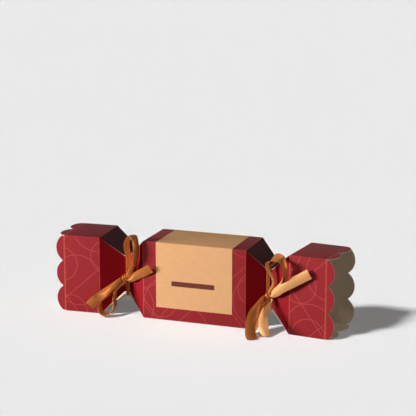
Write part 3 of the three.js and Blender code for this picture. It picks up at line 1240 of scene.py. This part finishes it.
@dataclass
class ScallopedFlap:
    """One creased flap with rounded scallops, hinged to the mouth of an end section."""

    blank: Blank
    finishes: Finishes
    place: EndFrame
    side: Side
    scallop_depth: float = 0.0085
    notch_depth: float = 0.0015
    arc_steps: int = 160
    score_rows: Values = (-1, 0.5, 2)
    upright_relief: float = 0.0009
    level_relief: float = 0.001

    @property
    def width(self) -> float:
        """The width of the panel that the flap hangs on."""
        return self.blank.height if self.side.upright else self.blank.depth

    @property
    def count(self) -> int:
        """How many scallops it has."""
        return 3 if self.side.upright else 2

    @property
    def relief(self) -> float:
        """How much is cut from each of its sides, so that flaps clear each other."""
        return self.upright_relief if self.side.upright else self.level_relief

    @property
    def root(self) -> float:
        """How far its crease lies beyond the section's mouth."""
        return self.blank.closing_step if self.side.upright else 0.0

    def build(self) -> None:
        """Model the flap flat, lay it in its panel's plane and turn it with its end section."""
        word = self.place.hand.word
        flap = self.scallop_row()
        self.add_root(flap)
        self.lay_in_plane(flap)
        self.blank.finish(flap, self.finishes.board)
        self.place.swing_out(flap, 0)
        body = f"{word}_{self.side.word}_flap"
        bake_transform(flap)
        hand_over(flap, [f"{word}_flap_{self.side.word}"], f"{word}_end to {body}")

    def scallop_row(self) -> Object:
        """Cut the flap's outline as a row of discs.

        Returns:
            The flap, with X outward and Y along the crease.
        """
        chord = self.width / self.count
        row = [self.one_scallop(chord)]
        for i in range(1, self.count):
            copy = row[0].copy()
            copy.data = row[0].data.copy()
            copy.location.y = i * chord
            bpy.context.collection.objects.link(copy)
            row.append(copy)
        take_up(*row)
        bpy.ops.object.join()
        row[0].location.y = (chord - self.width) / 2
        flap = fresh(f"{self.place.hand.word}_{self.side.word}_scalloped_flap")
        half = self.width / 2 - self.relief
        with shaping(flap):
            pick(Part.FACES)
            bpy.ops.mesh.remove_doubles(threshold=HAIR)
            trim((0, half, 0), (0, 1, 0))
            trim((0, -half, 0), (0, -1, 0))
        return flap

    def one_scallop(self, chord: float) -> Object:
        """Cut a disc down to one scallop between its notches.

        Args:
            chord: The scallop's width.

        Returns:
            The scallop, centred on Y with the crease at X 0.
        """
        rise = self.scallop_depth - self.notch_depth
        radius = (chord * chord / 4 + rise * rise) / (2 * rise)
        disc = {"vertices": self.arc_steps, "radius": radius, "fill_type": "NGON"}
        set_down_all()
        bpy.ops.mesh.primitive_circle_add(location=(self.scallop_depth - radius, 0, 0), **disc)
        scallop = fresh("scallop")
        with shaping(scallop):
            trim((0, chord / 2, 0), (0, 1, 0))
            trim((0, -chord / 2, 0), (0, -1, 0))
            trim((0, 0, 0), (-1, 0, 0))
        return scallop

    def add_root(self, flap: Object) -> None:
        """Add the strip that joins the flap to its panel, and score the rows where it creases.

        Args:
            flap: The flap, as it lies flat.
        """
        with shaping(flap):
            if self.root:
                pick(Part.EDGES, lambda edge: edge.is_boundary and at(edge, 0))
                draw_out(-self.root)
                widen = self.width / (self.width - 2 * self.relief)
                bpy.ops.transform.resize(value=(1, widen, 1), center_override=(0, 0, 0))
            for row in self.score_rows:
                trim((self.blank.crease_gap * row, 0, 0), (1, 0, 0), cut=False)

    def lay_in_plane(self, flap: Object) -> None:
        """Move the flap from its own plane to its panel's, with its printed face outward.

        Args:
            flap: The flap, as it lies flat.
        """
        blank, facing = self.blank, self.side.outward
        outward = Vector((self.place.hand.value, 0, 0))
        reach = blank.depth / 2 if self.side.upright else blank.height / 2
        centre = outward * (blank.mouth + self.root) + Vector((0, 0, blank.middle)) + facing * reach
        axes = Matrix((outward, facing.cross(outward), facing)).transposed().to_4x4()
        flap.data.transform(Matrix.Translation(centre) @ axes)
        if flap.data.polygons[0].normal.dot(facing) < 0:
            flap.data.flip_normals()


# The label and the pouch


@dataclass
class WrapLabel:
    """The kraft paper strip over the front, the top and down the back."""

    blank: Blank
    finishes: Finishes
    paper: float = 0.18 * MILLIMETRE
    lift: float = 0.03 * MILLIMETRE
    fold_radius: float = 0.6 * MILLIMETRE

    def build(self) -> None:
        """Fold the strip from one flat plane, and glue it on."""
        low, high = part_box("wrap_label")
        front = -self.blank.depth / 2 - self.lift
        crown = self.blank.height + self.lift
        set_down_all()
        bpy.ops.mesh.primitive_plane_add(size=1)
        bpy.ops.transform.resize(value=(high.x - low.x, 1, 1))
        label = fresh("kraft_label")
        label.data.uv_layers[0].name = "label"
        with shaping(label):
            with mesh_in_hand() as mesh:
                for corner in mesh.verts:
                    corner.co.yz = (front, low.z if corner.co.y < 0 else crown)
            pick(Part.EDGES, lambda edge: all(corner.co.z > low.z + HAIR for corner in edge.verts))
            draw_out(y=-2 * front)
            draw_out(z=low.z - crown)
            pick(Part.EDGES, lambda edge: not edge.is_boundary)
            bpy.ops.mesh.bevel(offset=self.fold_radius, segments=4, affect="EDGES")
            pick(Part.FACES)
            bpy.ops.mesh.normals_make_consistent(inside=False)
        self.blank.lay_out(label, "label")
        dress(label, self.finishes.kraft)
        settle(label, "SOLIDIFY", thickness=self.paper, offset=1, use_even_offset=True, use_rim=True)
        smooth(label, Stuff.BOARD)
        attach(label, "carton")
        hand_over(label, ["wrap_label"])


@dataclass
class TreatPouch:
    """The filled pouch that lies in the main box: a pillow between two flat seals."""

    finishes: Finishes
    rounds: int = 64
    rings: int = 44
    shoulder: float = 0.027
    seal_half: float = 0.6 * MILLIMETRE
    seal_drop: float = 0.009
    squareness: float = 0.8
    dimple: float = 1.1 * MILLIMETRE
    dents: tuple[Values, ...] = ((170, 2), (-90, 3), (260, 7))
    deepest_dents: float = 1.5

    def build(self) -> None:
        """Swell a tube into the pouch and crumple its film."""
        low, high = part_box("treat_pouch")
        half_length, half_depth = (high.x - low.x) / 2, (high.y - low.y) / 2
        height = high.z - low.z
        tube = {"vertices": self.rounds, "radius": 1, "depth": 2 * half_length, "end_fill_type": "NGON"}
        set_down_all()
        bpy.ops.mesh.primitive_cylinder_add(rotation=(0, math.pi / 2, 0), **tube)
        pouch = fresh("filled_treat_pouch")
        with shaping(pouch):
            for i in range(1, self.rings):
                trim((half_length * (-1 + 2 * i / self.rings), 0, 0), (1, 0, 0), cut=False)
        for vertex in pouch.data.vertices:
            x, angle = vertex.co.x, math.atan2(vertex.co.z, vertex.co.y)
            from_seal = min(1.0, (half_length - abs(x)) / self.shoulder)
            swell = math.sqrt(max(0.0, 1 - (1 - from_seal) ** 2))
            pressed = 1 - self.crumple(x, angle) * swell / half_depth
            rise = math.copysign(abs(math.sin(angle)) ** self.squareness, math.sin(angle))
            vertex.co.y = max(self.seal_half, half_depth * swell) * pressed * math.cos(angle)
            vertex.co.z = low.z + (height - self.seal_drop * (1 - swell)) / 2 * (1 + rise * pressed)
        dress(pouch, self.finishes.film)
        smooth(pouch, Stuff.CLOTH)
        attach(pouch, "carton")
        hand_over(pouch, ["treat_pouch"])

    def crumple(self, x: float, angle: float) -> float:
        """How far the film is pressed in at a place, between the lumps under it.

        Args:
            x: The place along the pouch.
            angle: The place round it.

        Returns:
            The depth, from 0 to the dimple's.
        """
        first, second, third = (math.sin(along * x + round_it * angle) for along, round_it in self.dents)
        return self.dimple * (1 + (first * second + 0.5 * third) / self.deepest_dents) / 2


# The bows


@dataclass(frozen=True)
class RoutePoint:
    """A point on a strand's route, from the knot, with the way that the ribbon lies there."""

    x: float
    y: float
    z: float
    width: float
    across: Values
    hangs: bool = False

    def place(self, knot: Vector, lowest: float) -> Vector:
        """The point in the frame. A hanging point's height is a share of the knot's."""
        z = max(lowest, self.z * knot.z) if self.hangs else knot.z + self.z
        return Vector((knot.x + self.x, knot.y + self.y, z))


def beside(across: Values, *points: Values) -> list[RoutePoint]:
    """Route points with one lie: X, Y and Z from the knot and the ribbon's width, in millimetres."""
    return [RoutePoint(*(value * MILLIMETRE for value in point), across) for point in points]


def hanging(across: Values, *points: Values) -> list[RoutePoint]:
    """Route points with one lie below the knot. Z is a share of the knot's height."""
    shares = [(x * MILLIMETRE, y * MILLIMETRE, share, width * MILLIMETRE) for x, y, share, width in points]
    return [RoutePoint(*share, across, hangs=True) for share in shares]


@dataclass(frozen=True)
class Station:
    """One cross-section of a ribbon: its middle, its axes and its width."""

    middle: Vector
    across: Vector
    facing: Vector
    width: float


@dataclass(frozen=True)
class Pleating:
    """How a ribbon folds lengthwise where it is drawn together."""

    folds: float
    shift: float
    deepest: float = 0.35 * MILLIMETRE
    lean: float = 0.14
    arch: float = 1.4 * MILLIMETRE
    cup: float = 0.9 * MILLIMETRE


@dataclass
class SatinStrip:
    """Lays the satin ribbon along stations, folding its full width into the width there."""

    finishes: Finishes
    full_width: float = 0.010
    cloth: float = 0.26 * MILLIMETRE
    columns: int = 36

    def lay(
        self,
        names: tuple[str, str, str],
        stations: list[Station],
        pleats: Pleating,
        closed: bool = False,
        backward: bool = False,
    ) -> None:
        """Make one strip of ribbon, folded from a flat sheet, and hand it over.

        Args:
            names: Its own name, what it rests on and the CAD node that it stands for.
            stations: Its cross-sections in order.
            pleats: How it folds where it is narrow.
            closed: Whether its end joins its start.
            backward: Whether the satin's dull back faces the way that the stations face.
        """
        name, rests_on, replaced = names
        lengths = [0.0]
        for here, there in pairwise(stations):
            lengths.append(lengths[-1] + (there.middle - here.middle).length)
        if closed:
            lengths.append(lengths[-1] + (lengths[-1] - lengths[-2]))
        strip = self.weave(name, stations, lengths, pleats)
        sides = (self.finishes.satin_back, self.finishes.satin)
        dress(strip, *(reversed(sides) if backward else sides))
        settle(strip, "SOLIDIFY", thickness=self.cloth, offset=0, use_rim=True, material_offset=1)
        smooth(strip, Stuff.CLOTH)
        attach(strip, "carton")
        hand_over(strip, [replaced])

    def weave(self, name: str, stations: list[Station], lengths: list[float], pleats: Pleating) -> Object:
        """Make a strip's surface, with a UV map of its own across it and along it.

        Args:
            name: The piece's name.
            stations: Its cross-sections.
            lengths: How far along it each one is, with one more where it is closed.
            pleats: How it folds.

        Returns:
            The strip, as one layer of faces.
        """
        shares = [2 * column / self.columns - 1 for column in range(self.columns + 1)]
        points = [self.fold(station, share, pleats) for station in stations for share in shares]
        cells = [
            [(i, k), (i, k + 1), (i + 1, k + 1), (i + 1, k)]
            for i in range(len(lengths) - 1)
            for k in range(self.columns)
        ]
        faces = [[i % len(stations) * len(shares) + k for i, k in cell] for cell in cells]
        mesh = bpy.data.meshes.new(name)
        mesh.from_pydata(points, [], faces)
        layout = mesh.uv_layers.new(name="ribbon")
        for loop, (i, k) in enumerate(chain.from_iterable(cells)):
            layout.data[loop].uv = (shares[k] * self.full_width / 2, lengths[i])
        strip = bpy.data.objects.new(name, mesh)
        bpy.context.collection.objects.link(strip)
        return strip

    def fold(self, station: Station, share: float, pleats: Pleating) -> Vector:
        """Find a point of the ribbon's surface. The narrower it lies, the deeper its folds are.

        Args:
            station: The cross-section.
            share: The place across the ribbon, from -1 to 1.
            pleats: How it folds.

        Returns:
            The point.
        """
        drawn = max(0.0, 1 - (station.width / self.full_width) ** 2)
        leaning = share + pleats.lean * math.sin(math.pi * share)
        wave = math.sin(math.pi * (pleats.folds * leaning + pleats.shift)) * (pleats.deepest * drawn**2)
        rise = wave + pleats.arch * drawn * (math.cos(math.pi * leaning / 2) - 0.5)
        rise -= pleats.cup * (share * share - 0.5)
        return station.middle + station.across * (share * station.width / 2) + station.facing * rise


class SmoothRoute:
    """A centripetal curve through a route's points, as the CAD model's strands follow."""

    def __init__(self, points: list[Vector]) -> None:
        """Take the points and add one beyond each end."""
        self.points = [2 * points[0] - points[1], *points, 2 * points[-1] - points[-2]]

    @staticmethod
    def gap(start: Vector, stop: Vector, least: float = 1e-7) -> float:
        """The root of the distance between two points, which is never zero."""
        return max((stop - start).length, least) ** 0.5

    def at(self, leg: int, share: float) -> tuple[Vector, Vector]:
        """Find a point of the curve.

        Args:
            leg: Which pair of points it lies between.
            share: How far it is between them.

        Returns:
            The point and the unit direction there.
        """
        before, start, stop, after = self.points[leg : leg + 4]
        earlier, own, later = self.gap(before, start), self.gap(start, stop), self.gap(stop, after)
        leave = self.slope(before, start, stop, earlier, own) * own
        arrive = self.slope(start, stop, after, own, later) * own
        square = 2 * start - 2 * stop + leave + arrive
        cube = -3 * start + 3 * stop - 2 * leave - arrive
        place = start + leave * share + cube * share**2 + square * share**3
        tangent = leave + 2 * cube * share + 3 * square * share**2
        return place, tangent.normalized()

    @staticmethod
    def slope(first: Vector, second: Vector, third: Vector, gap: float, next_gap: float) -> Vector:
        """The curve's speed at the middle one of three points."""
        return (second - first) / gap - (third - first) / (gap + next_gap) + (third - second) / next_gap


@dataclass
class NeckBow:
    """The ribbon tied round one neck: its band, its knot, two loops and two tails."""

    strip: SatinStrip
    blank: Blank
    hand: Hand
    off_centre: Values
    routes: dict[str, list[RoutePoint]]
    turned_over: tuple[str, ...] = ()
    band_gap: float = 0.4 * MILLIMETRE
    band_width: float = 3.6 * MILLIMETRE
    band_thickness: float = 0.8 * MILLIMETRE
    corner_steps: int = 8
    knot_size: Values = (0.008, 0.0065, 0.0075)
    knot_seat: float = 0.4 * MILLIMETRE
    knot_core: float = 0.86
    ridges: int = 9
    ridge_height: float = 0.05
    ridge_slant: float = 5
    wrap_axis: Values = (0.86, 0, 0.5)
    wrap_reach: float = 120
    wrap_width: float = 4.6 * MILLIMETRE
    wrap_swell: float = 1.2 * MILLIMETRE
    wrap_steps: int = 32
    wrap_depth: float = 0.9 * MILLIMETRE
    strand_folds: Values = (2.2, 2.7)
    strand_shift: float = 0.3
    steps: int = 12
    lowest: float = 0.6 * MILLIMETRE

    @property
    def word(self) -> str:
        """The bow's end of the carton, as its names say it."""
        return self.hand.word

    @property
    def half_knot(self) -> Vector:
        """Half the knot's size."""
        return Vector(self.knot_size) / 2

    @property
    def knot(self) -> Vector:
        """The knot's middle, in front of the band."""
        seat = self.blank.neck_depth / 2 + self.band_gap + self.band_thickness - self.knot_seat
        x = self.hand.value * (self.blank.neck_in + self.blank.neck_out) / 2 + self.off_centre[0]
        return Vector((x, -seat - self.half_knot.y, self.blank.middle + self.off_centre[1]))

    def build(self) -> None:
        """Tie the bow: band first, then the knot and the strands that leave it."""
        self.build_band()
        self.build_knot()
        self.build_wrap()
        for number, name in enumerate(self.routes):
            self.build_strand(name, Pleating(self.strand_folds[number % 2], self.strand_shift * number))

    def build_band(self) -> None:
        """Draw the ribbon up round the neck."""
        grow = self.band_gap + self.band_thickness / 2
        half = (self.blank.neck_depth / 2 + grow, self.blank.neck_height / 2 + grow)
        middle_x = self.hand.value * (self.blank.neck_in + self.band_gap + self.band_width / 2)
        stations = []
        for y, z, facing in self.rounded_ring(half, 3 * grow):
            middle = Vector((middle_x, y, self.blank.middle + z))
            stations.append(Station(middle, Vector((1, 0, 0)), facing, self.band_width))
        room = (self.band_thickness - self.strip.cloth) / 2
        pleats = Pleating(folds=5, shift=0.2, deepest=room, arch=0, cup=0)
        names = (f"{self.word}_neck_band", "carton_body", f"{self.word}_knotted_band")
        self.strip.lay(names, stations, pleats, closed=True)

    def rounded_ring(self, half: Values, corner: float) -> list[tuple[float, float, Vector]]:
        """Go round a rounded box in the plane across the carton.

        Args:
            half: Half its depth and half its height.
            corner: The radius of its corners.

        Returns:
            Places in Y and Z, each with the outward direction there.
        """
        ring = []
        for quarter, (sign_y, sign_z) in enumerate(((1, -1), (1, 1), (-1, 1), (-1, -1))):
            for step in range(self.corner_steps + 1):
                angle = math.pi / 2 * (quarter - 1) + math.pi / 2 * step / self.corner_steps
                facing = Vector((0, math.cos(angle), math.sin(angle)))
                y = sign_y * (half[0] - corner) + corner * facing.y
                ring.append((y, sign_z * (half[1] - corner) + corner * facing.z, facing))
        return ring

    def build_knot(self) -> None:
        """Shape the knot's core, ridged by the turns of ribbon in it."""
        set_down_all()
        bpy.ops.mesh.primitive_uv_sphere_add(segments=40, ring_count=24, radius=1)
        core = fresh(f"{self.word}_bow_knot")
        for vertex in core.data.vertices:
            around, slant = math.atan2(vertex.co.z, vertex.co.x), self.ridge_slant * vertex.co.y
            ridge = 1 + self.ridge_height * math.sin(self.ridges * around + slant)
            grown = (co * size * ridge * self.knot_core for co, size in zip(vertex.co, self.half_knot))
            vertex.co = Vector(grown) + self.knot
        layout, width = core.data.uv_layers[0], self.strip.full_width
        layout.name = "ribbon"
        for corner in layout.data:
            corner.uv = (width * (2 * corner.uv.x - 1), width * corner.uv.y)
        dress(core, self.strip.finishes.satin)
        smooth(core, Stuff.CLOTH)
        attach(core, "carton")
        hand_over(core, [f"{self.word}_knotted_band"])

    def build_wrap(self) -> None:
        """Lay the turn of ribbon that passes over the front of the knot."""
        axis = Vector(self.wrap_axis).normalized()
        upward = Vector((0, 1, 0)).cross(axis).normalized()
        stations = []
        for step in range(self.wrap_steps + 1):
            angle = math.radians(self.wrap_reach * (2 * step / self.wrap_steps - 1))
            facing = Vector((0, -math.cos(angle), 0)) + upward * math.sin(angle)
            width = self.wrap_width + self.wrap_swell * math.cos(angle)
            stations.append(Station(self.knot + facing * self.half_knot, axis, facing.normalized(), width))
        pleats = Pleating(folds=3, shift=0.45, deepest=self.wrap_depth, arch=0, cup=0)
        names = (f"{self.word}_bow_knot_wrap", f"{self.word}_bow_knot", f"{self.word}_knotted_band")
        self.strip.lay(names, stations, pleats)

    def build_strand(self, name: str, pleats: Pleating) -> None:
        """Lay one loop or tail along its route.

        Args:
            name: The strand's name in the CAD model.
            pleats: How it folds at the knot.
        """
        route = self.routes[name]
        curve = SmoothRoute([point.place(self.knot, self.lowest) for point in route])
        stations = []
        for i in range((len(route) - 1) * self.steps + 1):
            leg = min(i // self.steps, len(route) - 2)
            share = i / self.steps - leg
            middle, tangent = curve.at(leg, share)
            across = Vector(route[leg].across).lerp(Vector(route[leg + 1].across), share)
            across = (across - tangent * across.dot(tangent)).normalized()
            width = route[leg].width + (route[leg + 1].width - route[leg].width) * share
            stations.append(Station(middle, across, tangent.cross(across), width))
        names = (f"{self.word}_bow_{name}_ribbon", f"{self.word}_bow_knot", f"{self.word}_bow_{name}")
        self.strip.lay(names, stations, pleats, backward=name in self.turned_over)


# The ways that the ribbon's width lies along the routes.
AWAY = (0.24, 0.97, 0)
AWAY_AND_UP = (0.1, 0.8, 0.6)
LEVEL = (0.94, 0.34, 0)
SHADED_SIDE = (0.88, 0.47, 0)
LIT_SIDE = (0.99, -0.12, 0)
FORWARD = (0.3, -0.95, 0)
STRAIGHT_OUT = (0.12, -0.98, -0.12)
TO_CAMERA = (0, -1, 0)
TURNED_UP = (0.77, -0.48, -0.41)
TURNED_DOWN = (0.5, 0.2, -0.8)
LEVEL_DOWN = (0.84, 0.18, -0.49)
STEEP_UP = (-0.46, 0.05, 0.88)
NEARLY_UP = (-0.29, 0.12, 0.93)
LEANING_OUT = (-0.27, -0.3, 0.91)

LEFT_ROUTES = {
    "upper_loop": [
        *beside(
            AWAY,
            (0.9, -0.2, 2.8, 2.8), (2.8, -1, 5.4, 3), (6, -2.3, 13.8, 5), (3.1, -2.8, 27.4, 9),
            (2.5, -3.2, 37.9, 10), (7.3, -5.3, 46.3, 10), (12.7, -7.6, 46.6, 10),
            (15.4, -8.6, 38.2, 10), (15.5, -8.6, 26.7, 10), (12.3, -7.2, 14.5, 8), (7.6, -5.2, 6.7, 4),
            (5.4, -4, 3.6, 3), (2.4, -1.6, 1.2, 2.8),
        ),
    ],
    "lower_loop": [
        *hanging(FORWARD, (-1.6, 0, 0.94, 2.8), (-3.8, -0.6, 0.87, 4)),
        *hanging(
            STRAIGHT_OUT,
            (-9.5, -3.2, 0.72, 7), (-16, -6.8, 0.56, 9.4), (-22, -10, 0.42, 10),
            (-24.6, -12.5, 0.27, 10), (-22.4, -14.5, 0.12, 10), (-16.2, -15.5, 0.06, 10),
        ),
        *hanging(
            TO_CAMERA,
            (-9.8, -14, 0.14, 10), (-7.2, -11.6, 0.29, 9.6), (-8.5, -8.6, 0.48, 8.4),
            (-8.8, -5.8, 0.66, 5.6),
        ),
        *hanging(FORWARD, (-5.2, -3.6, 0.79, 4.4), (-1.2, -1.8, 0.89, 3.2), (0.4, -0.8, 0.93, 2.8)),
    ],
    "tail_left": [
        *beside(
            TURNED_UP,
            (-2.6, -1.4, 0.8, 2.8), (-4.6, -2.9, -0.6, 4.4), (-10.8, -8.2, -6.8, 7.6),
            (-18.7, -13.2, -13.6, 9.6),
        ),
        *beside(TURNED_DOWN, (-26, -17.2, -20.7, 10), (-32.5, -19.2, -27.4, 10)),
    ],
    "tail_right": [
        *beside(NEARLY_UP, (2.4, -1.5, -1.5, 2.8), (5.6, -3.4, -0.6, 5)),
        *beside(LEANING_OUT, (14.1, -6.6, 4.8, 8.8), (22.7, -8.8, 9.9, 10), (31.2, -9.2, 15, 10)),
    ],
}

RIGHT_ROUTES = {
    "upper_loop": [
        *beside(
            AWAY,
            (1.9, -0.3, 2.6, 2.8), (4.3, -1.6, 5.4, 3), (12.3, -7.5, 13.6, 5), (18.5, -13.5, 22.9, 7),
            (18.9, -15, 34.4, 9),
        ),
        *beside(AWAY_AND_UP, (14.8, -13.5, 41.2, 10), (8, -9.6, 41.3, 10)),
        *beside(
            AWAY,
            (0.5, -5.2, 35.3, 9), (-0.9, -4, 28.7, 6), (3.3, -3.5, 21.9, 4), (5.3, -3, 13.8, 3),
            (1.6, -2, 6.1, 3), (0, -0.8, 2.8, 2.8),
        ),
    ],
    "lower_loop": [
        *beside(LEVEL_DOWN, (-2.4, -0.8, -0.9, 2.8), (-4.8, -2, -1.8, 3.2)),
        *hanging(LEVEL_DOWN, (-7.6, -10.2, 0.78, 7), (-10.5, -19.2, 0.58, 10)),
        *hanging(
            SHADED_SIDE,
            (-10.9, -27.2, 0.33, 10), (-7.7, -35.2, 0.12, 10), (-5.3, -38.6, 0.055, 10),
            (-6.2, -37.2, 0.01, 10),
        ),
        *hanging(
            LEVEL,
            (-8.6, -32.6, 0.02, 10), (-11.4, -26, 0.12, 10), (-10, -19, 0.27, 10),
            (-7.5, -11.2, 0.47, 8), (-1.4, -1.7, 0.84, 3), (-1.2, -0.9, 0.93, 2.8),
        ),
    ],
    "tail_left": [
        *hanging(LEVEL, (2.3, -0.9, 0.94, 2.8), (3.4, -1.9, 0.85, 3), (0.2, -8.2, 0.69, 7)),
        *hanging(LIT_SIDE, (-1.6, -15.2, 0.46, 10), (0.8, -21.2, 0.23, 10), (3.1, -25.2, 0, 10)),
    ],
    "tail_right": [
        *beside(
            STEEP_UP,
            (1.9, -2, -0.2, 2.8), (4.4, -5, 1.3, 5), (8.6, -8.4, 5, 7.6), (16.5, -13, 12.2, 9.4),
            (24.4, -13.8, 17.4, 10), (34.2, -14, 23.3, 10), (44.3, -14.2, 29.4, 10),
        ),
    ],
}


# The studio


class Lights(Enum):
    """What a lamp lights, by what its light link does with the floor."""

    ALL = "all"
    OBJECT = "EXCLUDE"
    FLOOR = "INCLUDE"


def set_up(data: bpy.types.ID, aim: Vector, angles: Values, distance: float) -> Object:
    """Stand the camera or a lamp at a distance from a point, looking back at it.

    Args:
        data: The camera or the lamp.
        aim: The point.
        angles: Degrees from the front toward the right, and above the floor.
        distance: The distance.

    Returns:
        The camera's or the lamp's object.
    """
    turn, rise = (math.radians(angle) for angle in angles)
    back = Vector((math.sin(turn) * math.cos(rise), -math.cos(turn) * math.cos(rise), math.sin(rise)))
    obj = bpy.data.objects.new(data.name, data)
    obj.location = aim + back * distance
    obj.rotation_euler = (-back).to_track_quat("-Z", "Y").to_euler()
    bpy.context.collection.objects.link(obj)
    return obj


@dataclass(frozen=True)
class SoftBox:
    """A studio lamp, seen from the object."""

    name: str
    angles: Values
    distance: float
    lights: Lights
    shows_in_gloss: bool
    aim_height: float = field(default=0.04, kw_only=True)

    def hang(self, floor: Object) -> None:
        """Hang the lamp, point it at the object and keep it out of sight.

        Args:
            floor: The floor, for a lamp that lights only the floor or only the object.
        """
        obj = set_up(self.lamp(), Vector((0, 0, self.aim_height)), self.angles, self.distance)
        obj.visible_camera = False
        obj.visible_glossy = self.shows_in_gloss
        if self.lights is not Lights.ALL:
            flag = bpy.data.collections.new(f"{self.name}_flag")
            flag.objects.link(floor)
            obj.light_linking.receiver_collection = flag
            flag.collection_objects[0].light_linking.link_state = self.lights.value

    def lamp(self) -> bpy.types.Light:
        """The lamp itself."""
        raise NotImplementedError


@dataclass(frozen=True)
class NearSoftBox(SoftBox):
    """A lamp near the object, whose light falls off along it."""

    size: Values
    power: float

    def lamp(self) -> bpy.types.Light:
        """Make a rectangle that shines.

        Returns:
            The lamp.
        """
        lamp = bpy.data.lights.new(self.name, "AREA")
        lamp.shape, lamp.energy = "RECTANGLE", self.power
        lamp.size, lamp.size_y = self.size
        return lamp


@dataclass(frozen=True)
class FarSoftBox(SoftBox):
    """A lamp so far off that it lights everything alike."""

    spread: float
    strength: float

    def lamp(self) -> bpy.types.Light:
        """Make a disc of light far off.

        Returns:
            The lamp.
        """
        lamp = bpy.data.lights.new(self.name, "SUN")
        lamp.angle, lamp.energy = math.radians(self.spread), self.strength
        return lamp


@dataclass
class Studio:
    """The pale floor, the lamps, the room and the camera where the photograph was taken from."""

    aim: Values = (0.005173, 0, 0.113311)
    angles: Values = (19.677, 12.91)
    distance: float = 1.4
    lens: float = 120.32
    sensor: float = 36.0
    floor_size: float = 24.0
    floor_seen: Colour = paint(0.8, 0.8, 0.8)
    floor_bouncing: Colour = paint(0.17, 0.17, 0.17)
    floor_glow: Colour = paint(0.82, 0.82, 0.82)
    glow: float = 0.18
    room_light: float = 0.04
    room_seen: float = 0.78
    room_in_gloss: float = 0.22
    lamps: tuple[SoftBox, ...] = (
        NearSoftBox("key_softbox", (-62, 8), 1.4, Lights.OBJECT, True, (0.42, 0.24), 28),
        NearSoftBox("mouth_softbox", (80, 10), 0.5, Lights.OBJECT, True, (0.12, 0.12), 0.45),
        FarSoftBox("high_softbox", (-37, 42), 3, Lights.ALL, True, 9, 0.55),
        FarSoftBox("floor_softbox", (-37, 42), 3, Lights.FLOOR, True, 9, 3.2),
        FarSoftBox("back_softbox", (190, 15), 3, Lights.OBJECT, False, 30, 0.9),
    )

    def build(self) -> None:
        """Set up everything round the object."""
        self.place_camera()
        floor = self.lay_floor()
        self.light_room()
        for lamp in self.lamps:
            lamp.hang(floor)

    def place_camera(self) -> None:
        """Put the camera where the photograph was taken from."""
        camera = bpy.data.cameras.new("photo_camera")
        camera.lens, camera.sensor_width = self.lens, self.sensor
        bpy.context.scene.camera = set_up(camera, Vector(self.aim), self.angles, self.distance)

    def lay_floor(self) -> Object:
        """Lay a wide pale floor that keeps the object's shadow.

        Returns:
            The floor, pale where it is seen and darker to the light that bounces off it.
        """
        set_down_all()
        bpy.ops.mesh.primitive_plane_add(size=self.floor_size)
        floor = fresh("studio_floor")
        material = bpy.data.materials.new("pale_floor")
        material.use_nodes = True
        wiring = Wiring(material.node_tree)
        path = wiring.add("LightPath").outputs
        seen = wiring.most(*(path[f"Is {kind} Ray"] for kind in ("Camera", "Glossy", "Transmission")))
        matte = wiring.add("BsdfDiffuse", {"Color": self.floor_bouncing}).outputs[0]
        pale = wiring.add("BsdfDiffuse", {"Color": self.floor_seen}).outputs[0]
        glow = wiring.add("Emission", {"Color": self.floor_glow, "Strength": self.glow}).outputs[0]
        bright = wiring.add("AddShader", {0: pale, 1: glow}).outputs[0]
        both = wiring.add("MixShader", {0: seen, 1: matte, 2: bright}).outputs[0]
        wiring.add("OutputMaterial", {"Surface": both})
        dress(floor, material)
        floor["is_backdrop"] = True
        return floor

    def light_room(self) -> None:
        """Give the room a weak even light, and a pale look where it is seen."""
        world = bpy.data.worlds.new("studio_room")
        bpy.context.scene.world = world
        world.use_nodes = True
        wiring = Wiring(world.node_tree)
        path = wiring.add("LightPath").outputs
        looked_at = wiring.most(path["Is Camera Ray"], path["Is Transmission Ray"])
        plain = wiring.line(looked_at, self.room_seen, self.room_light)
        strength = wiring.line(path["Is Glossy Ray"], self.room_in_gloss, plain)
        room = wiring.add("Background", {"Color": paint(1, 1, 1), "Strength": strength})
        wiring.add("OutputWorld", {"Surface": room.outputs[0]})


def write_size() -> None:
    """Log the CAD model's box and the dressed model's box, in millimetres."""
    low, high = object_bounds()
    for word, size in (("cad", cad_high - cad_low), ("visual", high - low)):
        log.info("%s box: %.1f x %.1f x %.1f mm", word, *(size / MILLIMETRE))


def main() -> None:
    """Build the studio, then the carton from the board outward to its bows."""
    logging.basicConfig(level=logging.INFO, format="%(name)s: %(message)s")
    bpy.context.scene.view_settings.view_transform = "Standard"
    Studio().build()
    blank = Blank.from_frame()
    finishes = Finishes.for_blank(blank)
    MainBox(blank, finishes).build()
    for hand in Hand:
        EndSection(blank, finishes, EndFrame.from_frame(hand)).build()
    WrapLabel(blank, finishes).build()
    TreatPouch(finishes).build()
    strip = SatinStrip(finishes)
    left_knot, right_knot = (0, -1.75 * MILLIMETRE), (1.8 * MILLIMETRE, -4.75 * MILLIMETRE)
    NeckBow(strip, blank, Hand.LEFT, left_knot, LEFT_ROUTES).build()
    turned_over = ("tail_left", "tail_right", "upper_loop")
    NeckBow(strip, blank, Hand.RIGHT, right_knot, RIGHT_ROUTES, turned_over).build()
    write_size()


if __name__ == "__main__":
    main()
